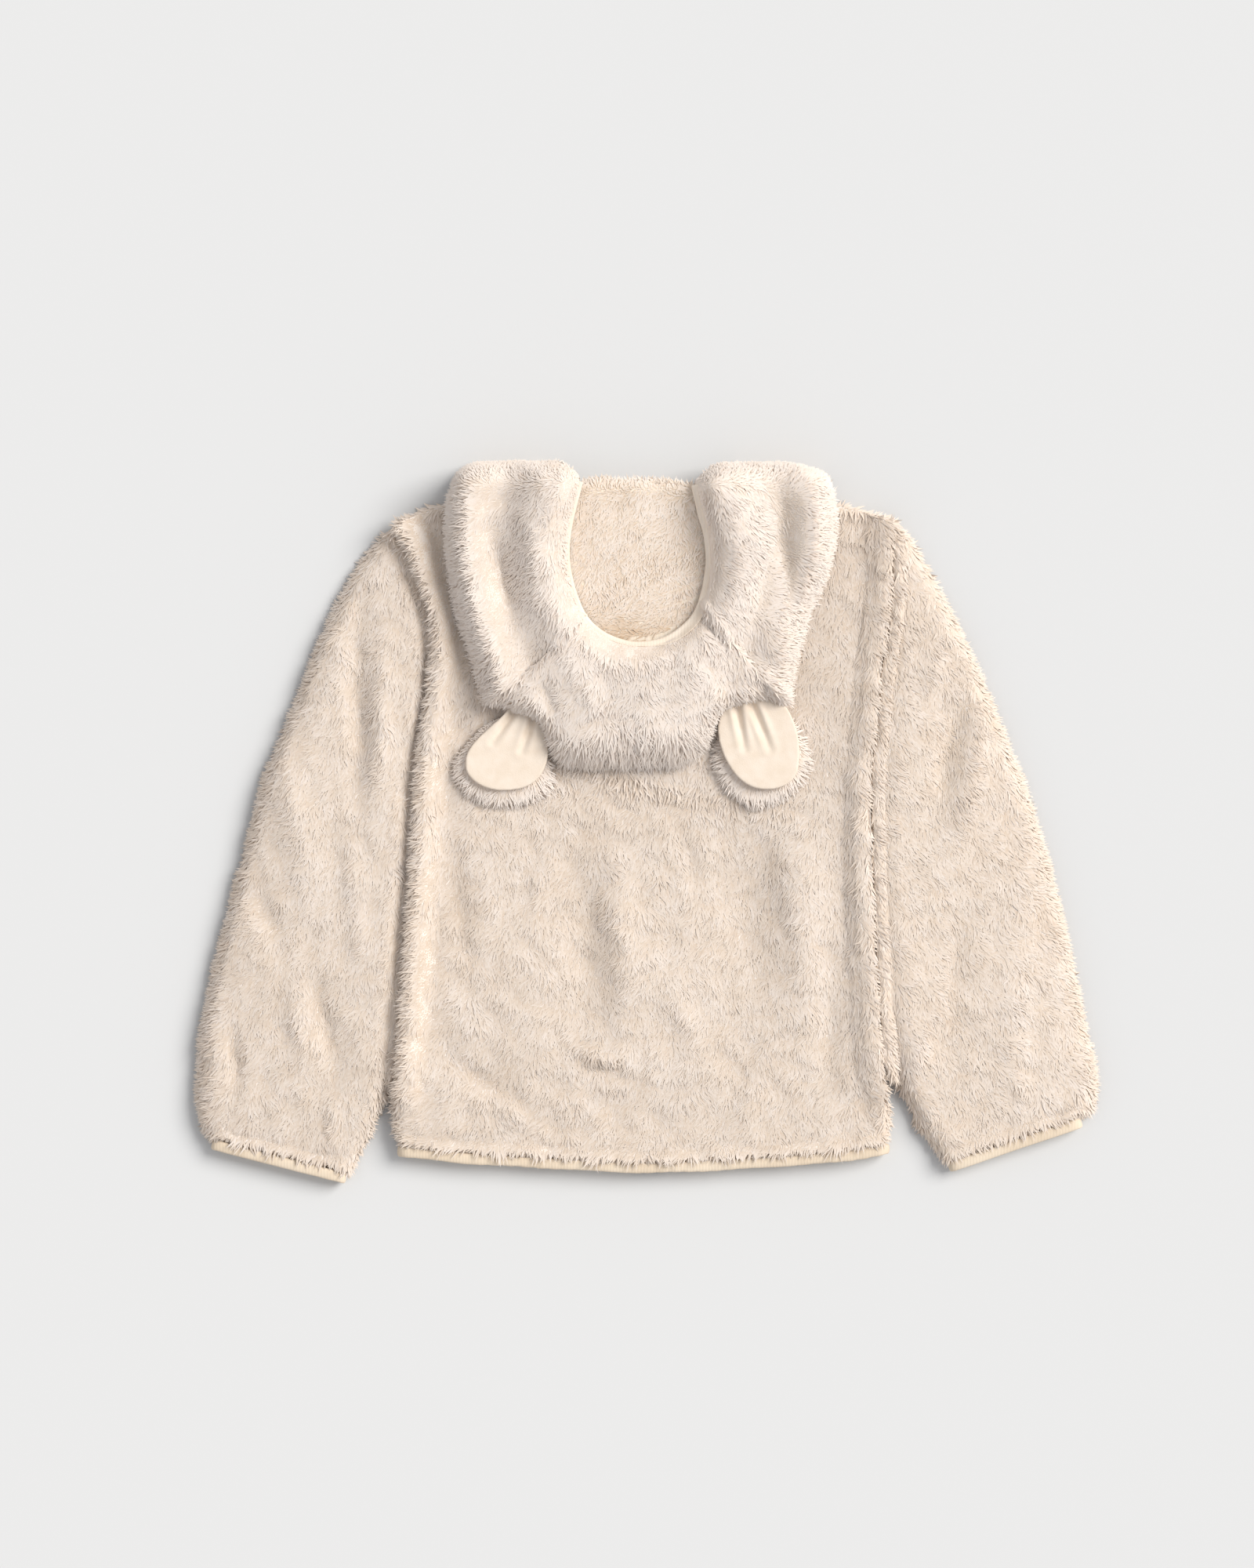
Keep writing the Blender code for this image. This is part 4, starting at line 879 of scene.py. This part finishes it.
HOOD_CUTS = {"hood_side_left": (0.11, 0.18), "hood_side_right": (0.11, 0.18), "hood_crown": (0.20, 0.11)}
for k, name in enumerate(HOOD_CUTS):
    covered_by = (*(other for other in HOOD_CUTS if other != name), "back", "hood_rear", "hood_lining")
    cloth = cloth_shell(name + "_cloth", name, turned_past(-0.75, 0.25), HOOD_FOLDS[name], covered_by,
                        over_ears if name == "hood_crown" else None, HOOD_SEAMS)
    brush(cloth, hood_nap, hood_bare)
    sizes = {**HOOD_PILE, "Seed": HOOD_PILE["Seed"] + k}
    add_sherpa(cloth, name, sizes)


# Lip of the face opening
# A smooth knitted strip that faces the opening's edge: it is turned over from the inside
# and sewn down, so a narrow band of it shows between the two piles.
def jersey(name, pale, deep):
    """Fine cotton jersey: flat and matt, with ribs about 1 mm apart and faint tone changes."""
    material, tree, place = new_material(name)
    tone = ramp(tree, noise_at(tree, place, 45.0, 3.0), ((0.35, deep), (0.65, pale)))
    ribs = add_node(tree, "ShaderNodeTexWave", {"bands_direction": "X"},
                    {"Vector": place, "Scale": 160.0, "Distortion": 1.5, "Detail": 2.0, "Detail Scale": 2.0})
    set_surface(tree, {"Base Color": tone, "Roughness": 0.85, "Sheen Weight": 0.1},
                (ribs.outputs["Fac"], 0.35, 0.0002))
    return material


LIP_ROWS = (  # distance outside the lip and height of each row; past the lip it lies on the hood
    (-2.3, 24.4), (-2.3, 26.2), (-1.9, 27.6), (-1.2, 28.2), (-0.4, 28.4),
    (0.4, None), (0.7, None), (1.0, None),
)
LIP_STEPS = 96
LIP_THICKNESS = 0.5
LIP_SUNK = 0.6  # how deep it lies in the hood's solid
LIP_CLIMB = 2.6  # how much higher each row may be


def along(line, share):
    """The place at a share of a line's length, on a smooth curve through its points."""
    lengths = [0.0]
    for a, b in zip(line, line[1:]):
        lengths.append(lengths[-1] + math.dist(a, b))
    at = share * lengths[-1]
    k = max(i for i in range(len(line) - 1) if lengths[i] <= at + 1e-9)
    t = (at - lengths[k]) / (lengths[k + 1] - lengths[k])
    p = [Vector(line[min(max(k + i, 0), len(line) - 1)]) for i in (-1, 0, 1, 2)]
    return 0.5 * (2 * p[1] + (p[2] - p[0]) * t + (2 * p[0] - 5 * p[1] + 4 * p[2] - p[3]) * t ** 2
                  + (3 * p[1] - p[0] - 3 * p[2] + p[3]) * t ** 3)


def lip_strip(name):
    """The facing: a strip that rises inside the opening, turns over the lip and lies on the hood."""
    hood = solid_tree(HOOD_CUTS)
    points = []
    for i in range(LIP_STEPS + 1):
        share = 0.012 + 0.976 * i / LIP_STEPS
        place = along(LIP, share)
        way = (along(LIP, share + 0.01) - along(LIP, share - 0.01)).normalized()
        for distance, z in LIP_ROWS:
            if z is None:
                distance *= facing_width(place.x)
            x, y = place + Vector((way.y, -way.x)) * distance
            if z is None:
                top = hood.ray_cast(Vector((x * MM, y * MM, ABOVE_ALL)), Vector((0, 0, -1)))[0]
                z = max(height, top.z / MM - LIP_SUNK) if top else height + 0.3
                z = min(z, height + LIP_CLIMB)
            height = z
            points.append((x * MM, y * MM, z * MM))
    strip = piece_of(name, points, grid_faces(LIP_STEPS, len(LIP_ROWS)))
    strip.data.flip_normals()
    modify(strip, "thick", "SOLIDIFY", thickness=LIP_THICKNESS * MM, offset=-1.0)
    modify(strip, "finer", "SUBSURF", levels=1)
    return smoothed(strip)


lip = coat(lip_strip("lip_strip"), jersey("lip_facing", "#F8ECDD", "#F0E1CE"))
stand_for("hood_edge", "binding", lip)

# Ears
# A sherpa back whose locks stand out round the rim, and a velvet front with two pleats, sewn
# together along the top edge into the hood's seam.
EAR_PILE = {"Spacing": 0.95, "Length": 7.5, "Width": 4.4, "Height": 0.9, "Turn": 0.8, "Tone": 0.8, "Seed": 51}
VELVET_OUTLINES = {  # its top goes under the hood
    "left": (
        (-84, 77), (-92, 68), (-98.5, 62), (-105, 56), (-111, 49.5), (-115, 41.7), (-114.3, 32), (-107, 24.7),
        (-95.5, 20.9), (-80, 21.9), (-70, 27.5), (-64.5, 36), (-62.5, 46), (-64, 56), (-68, 66), (-74, 75),
    ),
    "right": (
        (46, 52), (45.5, 63), (50, 74), (60, 80), (74, 81), (86, 77), (93, 66), (96.5, 54), (97, 42),
        (95.5, 31.5), (90, 25), (82, 21.8), (72, 21.6), (63, 25), (55.5, 32), (49.5, 42),
    ),
}
VELVET_LEVELS = (20.3, 25.2)
PLEATS = {
    "left": (((-80.5, 76), (-98, 51.5)), ((-70.5, 71), (-79.5, 45.5))),
    "right": (((57, 74), (62.5, 47)), ((67, 76), (78.5, 47))),
}
VELVET_FACE = 0.7
PLEAT_DEPTH = 3.0
PLEAT_HALF = 2.1  # half width of the groove
PLEAT_LIP = 1.0  # how far the cloth stands up beside it


def velvet(name, pale, deep):
    """Short dense velvet: soft sheen at its turned edges, faint mottling where the nap is pressed."""
    material, tree, place = new_material(name)
    tone = ramp(tree, noise_at(tree, place, 130.0, 4.0), ((0.3, deep), (0.7, pale)))
    set_surface(tree, {"Base Color": tone, "Roughness": 0.9, "Sheen Weight": 0.35, "Sheen Roughness": 0.4},
                (noise_at(tree, place, 1400.0, 2.0), 0.4, 0.0003))
    return material


def cushion(name, outline, low, high):
    """A flat soft piece with a rounded rim, of even small faces."""
    steps = 4 * len(outline)
    curve = [along(outline + outline[:1], k / steps) for k in range(steps)]
    points = [(x * MM, y * MM, z * MM) for z in (low, high) for x, y in curve]
    around = range(steps)
    walls = [(a, (a + 1) % steps, steps + (a + 1) % steps, steps + a) for a in around]
    obj = piece_of(name, points, walls + [[steps + a for a in around], around[::-1]])
    modify(obj, "even", "REMESH", mode="VOXEL", voxel_size=VELVET_FACE * MM)
    modify(obj, "soft", "SMOOTH", factor=0.5, iterations=14)
    return smoothed(obj)


def pleat_height(pleats, x, y):
    """Height that the pleats add to the velvet: grooves with a raised lip, deepest at the seam."""
    total = 0.0
    for start, end in pleats:
        t, away = beside(start, end, x, y)
        fade = 1 - 0.8 * t ** 1.5
        total -= PLEAT_DEPTH * fade * math.exp(-((away / PLEAT_HALF) ** 2))
        total += PLEAT_LIP * fade * math.exp(-(((away - 2 * PLEAT_HALF) / PLEAT_HALF) ** 2))
    return total


ear_velvet = velvet("ear_velvet", "#F0E2D2", "#E8D8C5")
for side in ("left", "right"):
    cx, cy = EAR_CENTRES[side]

    def ear_nap(x, y, z, normal):
        low = past(y, cy + 8, -14)
        if side == "right":
            low = max(low, past(x - cx, 8, 8))
        return x - cx, y - cy - 6, 0.4 + 0.7 * low

    name = "ear_" + side
    ear = cloth_shell(name + "_cloth", name, all_round, (),
                      ("back", name + "_inner", "hood_crown", "hood_side_" + side))
    brush(ear, ear_nap)
    add_sherpa(ear, name, EAR_PILE)
    inner = cushion(name + "_velvet", VELVET_OUTLINES[side], *VELVET_LEVELS)
    for v in inner.data.vertices:
        if v.normal.z > 0.2:
            v.co.z += pleat_height(PLEATS[side], v.co.x / MM, v.co.y / MM) * MM
    stand_for(name + "_inner", "velvet", coat(inner, ear_velvet))

# Bindings of the hem and the cuffs
# Stretch jersey folded over the raw edge and sewn down under tension, so that it gathers
# into small ripples as it draws back.
binding_jersey = jersey("binding_jersey", "#E8D8C2", "#DFCDB5")
BINDINGS = {  # height and pitch of the ripples, and the cut in metres
    "hem_binding": (0.45, 9.0, (0.0125, 0.62)),
    "cuff_binding_left": (0.4, 7.0, (0.0125, 0.165)),
    "cuff_binding_right": (0.4, 7.5, (0.0125, 0.165)),
}
for name, (height, pitch, flat) in BINDINGS.items():
    binding = finer_copy(name + "_cloth", name)
    for v in binding.data.vertices:
        x, y, z = v.co / MM
        wave = math.sin(math.tau * x / pitch + 1.5 * math.sin(x / 31)) * (0.6 + 0.4 * math.sin(x / 17))
        v.co += v.normal * (height * wave * MM * 0.5 * (1 if z > 1 else 0))
    stand_for(name, "binding", coat(binding, binding_jersey))

# Zip
# Two woven polyester tapes sewn behind the fronts' edges, with moulded acetal teeth that mesh on
# the line x = 0, a cast zinc slider, and a pull tab that hangs on the slider's pin.
TAPE_EDGES = (0.6, 12.0)  # from the middle line
TAPE_LEVEL = 7.1
TAPE_THICKNESS = 0.6
TAPE_ENDS = (-212.8, 175.8)
TAPE_GRID = (7, 78)
TOOTH = (3.2, 1.15, 1.0)  # across, along the zip, and thick
TOOTH_BEVEL = 0.22
TOOTH_MIDDLE = (1.05, 6.15)  # its distance from the middle line, and its height
TOOTH_PITCH = 2.6
TOOTH_COUNT = 147


def woven_tape(name, pale, deep):
    """Woven polyester tape: matt, with a weave about 1 mm apart, drawn coarser than it is."""
    material, tree, place = new_material(name)
    height = 1.0
    for way in ("X", "Y"):
        threads = add_node(tree, "ShaderNodeTexWave", {"bands_direction": way},
                           {"Vector": place, "Scale": 150.0, "Distortion": 0.4}).outputs["Fac"]
        inputs = {0: height, 1: threads}
        height = add_node(tree, "ShaderNodeMath", {"operation": "MULTIPLY"}, inputs).outputs[0]
    tone = ramp(tree, height, ((0.0, deep), (0.6, pale)))
    set_surface(tree, {"Base Color": tone, "Roughness": 0.85}, (height, 0.5, 0.0002))
    return material


def between(tree, value, low, high):
    return add_node(tree, "ShaderNodeMapRange", None,
                    {"Value": value, "To Min": low, "To Max": high}).outputs["Result"]


def moulded_acetal(name, code):
    """Moulded acetal: smooth and slightly waxy, with faint flow marks in its gloss."""
    material, tree, place = new_material(name)
    gloss = between(tree, noise_at(tree, place, 700.0, 2.0), 0.34, 0.5)
    set_surface(tree, {"Base Color": colour(code), "Roughness": gloss, "IOR": 1.48})
    return material


def satin_zinc(name, pale, deep):
    """Cast zinc alloy, tumbled to a pale satin: soft highlights with fine scratches."""
    material, tree, place = new_material(name)
    marks = streaks(tree, place, (2600.0, 300.0, 900.0), 3.0)
    tone = ramp(tree, marks, ((0.3, deep), (0.7, pale)))
    set_surface(tree, {"Base Color": tone, "Roughness": between(tree, marks, 0.28, 0.46), "Metallic": 1.0},
                (marks, 0.2, 0.0001))
    return material


def tooth_row_tree():
    """Repeats one tooth along a line."""
    tree, given = new_tree("tooth_row", {"Count": "Int", "Pitch": "Float", "Plastic": "Material"})
    step = add_node(tree, "ShaderNodeCombineXYZ", None, {1: given["Pitch"]})
    line = add_node(tree, "GeometryNodeMeshLine", None, {"Count": given["Count"], "Offset": step.outputs[0]})
    placed = add_node(tree, "GeometryNodeInstanceOnPoints", None,
                      {"Points": line.outputs[0], "Instance": given["Geometry"]})
    real = add_node(tree, "GeometryNodeRealizeInstances", None, {"Geometry": placed.outputs[0]})
    coated = add_node(tree, "GeometryNodeSetMaterial", None, {"Geometry": real.outputs[0],
                                                              "Material": given["Plastic"]})
    add_node(tree, "NodeGroupOutput", None, {0: coated.outputs[0]})
    return tree


def zip_tape(name, sign):
    """One tape: a fine grid given its thickness."""
    columns, rows = TAPE_GRID
    xs = [sign * MM * x for x in np.linspace(*TAPE_EDGES, columns + 1)]
    ys = [MM * y for y in np.linspace(*TAPE_ENDS, rows + 1)]
    points = [(x, y, TAPE_LEVEL * MM) for y in ys for x in xs]
    faces = [(*face[1:], face[0])[::-sign] for face in grid_faces(rows, columns + 1)]
    tape = piece_of(name, points, faces)
    modify(tape, "thick", "SOLIDIFY", thickness=TAPE_THICKNESS * MM, offset=0.0)
    return coat(applied(tape), tape_weave)


def zip_teeth(name, sign):
    """One row of teeth. The two rows stand half a pitch apart."""
    across, along, thick = TOOTH
    away, height = TOOTH_MIDDLE
    shell = bmesh.new()
    bmesh.ops.create_cube(shell, size=1.0)
    for v in shell.verts:
        narrow = 0.75 if v.co.x * sign > 0 else 1.0
        v.co = Vector((v.co.x * across, v.co.y * along * narrow, v.co.z * thick)) * MM
    bmesh.ops.bevel(shell, geom=shell.edges[:], offset=TOOTH_BEVEL * MM, segments=1, affect="EDGES")
    first = TAPE_ENDS[0] + TOOTH_PITCH * (1.0 if sign > 0 else 1.5)
    bmesh.ops.translate(shell, verts=shell.verts, vec=Vector((sign * away, first, height)) * MM)
    teeth = piece_from(name, shell)
    set_inputs(modify(teeth, "row", "NODES"), tooth_tree,
               {"Count": TOOTH_COUNT, "Pitch": TOOTH_PITCH * MM, "Plastic": tooth_plastic})
    return applied(teeth)


tape_weave = woven_tape("woven_polyester_tape", "#EFE4D2", "#DFD0B8")
tooth_plastic = moulded_acetal("moulded_acetal", "#EDE0CC")
tooth_tree = tooth_row_tree()
for side, sign in (("left", -1), ("right", 1)):
    tape = zip_tape("zip_tape_cloth_" + side, sign)
    teeth = zip_teeth("zip_teeth_" + side, sign)
    stand_for("zip_tape_" + side, "tape", tape, teeth)
zinc = satin_zinc("satin_zinc_alloy", "#D6D0C4", "#B9B2A4")
for name in ("zip_slider", "zip_pull"):
    for metal_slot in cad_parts[name].material_slots:
        metal_slot.material = zinc

# Surface and light
# A pale even floor, a wide soft lamp from the upper right and an even sky. The camera is
# straight above, far enough to show no perspective to speak of.
VIEW_CENTRE = (-12.5, 24.75)  # what the middle of the photograph shows
VIEW_WIDTH = 1000.0  # what its long side shows
LENS = 135.0
SENSOR = 36.0
VIEW_HEIGHT = VIEW_WIDTH * LENS / SENSOR
MIDDLE_HEIGHT = 14.0
FLOOR = 6.0  # half of its side, in metres

floor_material, floor_tree, _ = new_material("floor")
set_surface(floor_tree, {"Base Color": colour("#DADBDB"), "Roughness": 0.9})
corners = [(-FLOOR, -FLOOR, 0), (FLOOR, -FLOOR, 0), (FLOOR, FLOOR, 0), (-FLOOR, FLOOR, 0)]
coat(piece_of("floor", corners, [(0, 1, 2, 3)]), floor_material)

scene = bpy.context.scene
world = bpy.data.worlds.new("studio")
world.use_nodes = True
feed(world.node_tree, world.node_tree.nodes["Background"], {"Color": colour("#FCFCFF"), "Strength": 0.57})
scene.world = world
scene.view_settings.view_transform = "Standard"

sun = bpy.data.lights.new("key", "SUN")
sun.energy = 2.95
sun.angle = math.radians(34)
sun.color = colour("#FFFCF8")[:3]
key = link(bpy.data.objects.new("key", sun))
key.rotation_euler = Vector((0.95, 0.5, 1.0)).to_track_quat("Z", "Y").to_euler()

camera = link(bpy.data.objects.new("camera", bpy.data.cameras.new("camera")))
camera.data.lens = LENS
camera.location = Vector((*VIEW_CENTRE, VIEW_HEIGHT + MIDDLE_HEIGHT)) * MM
scene.camera = camera
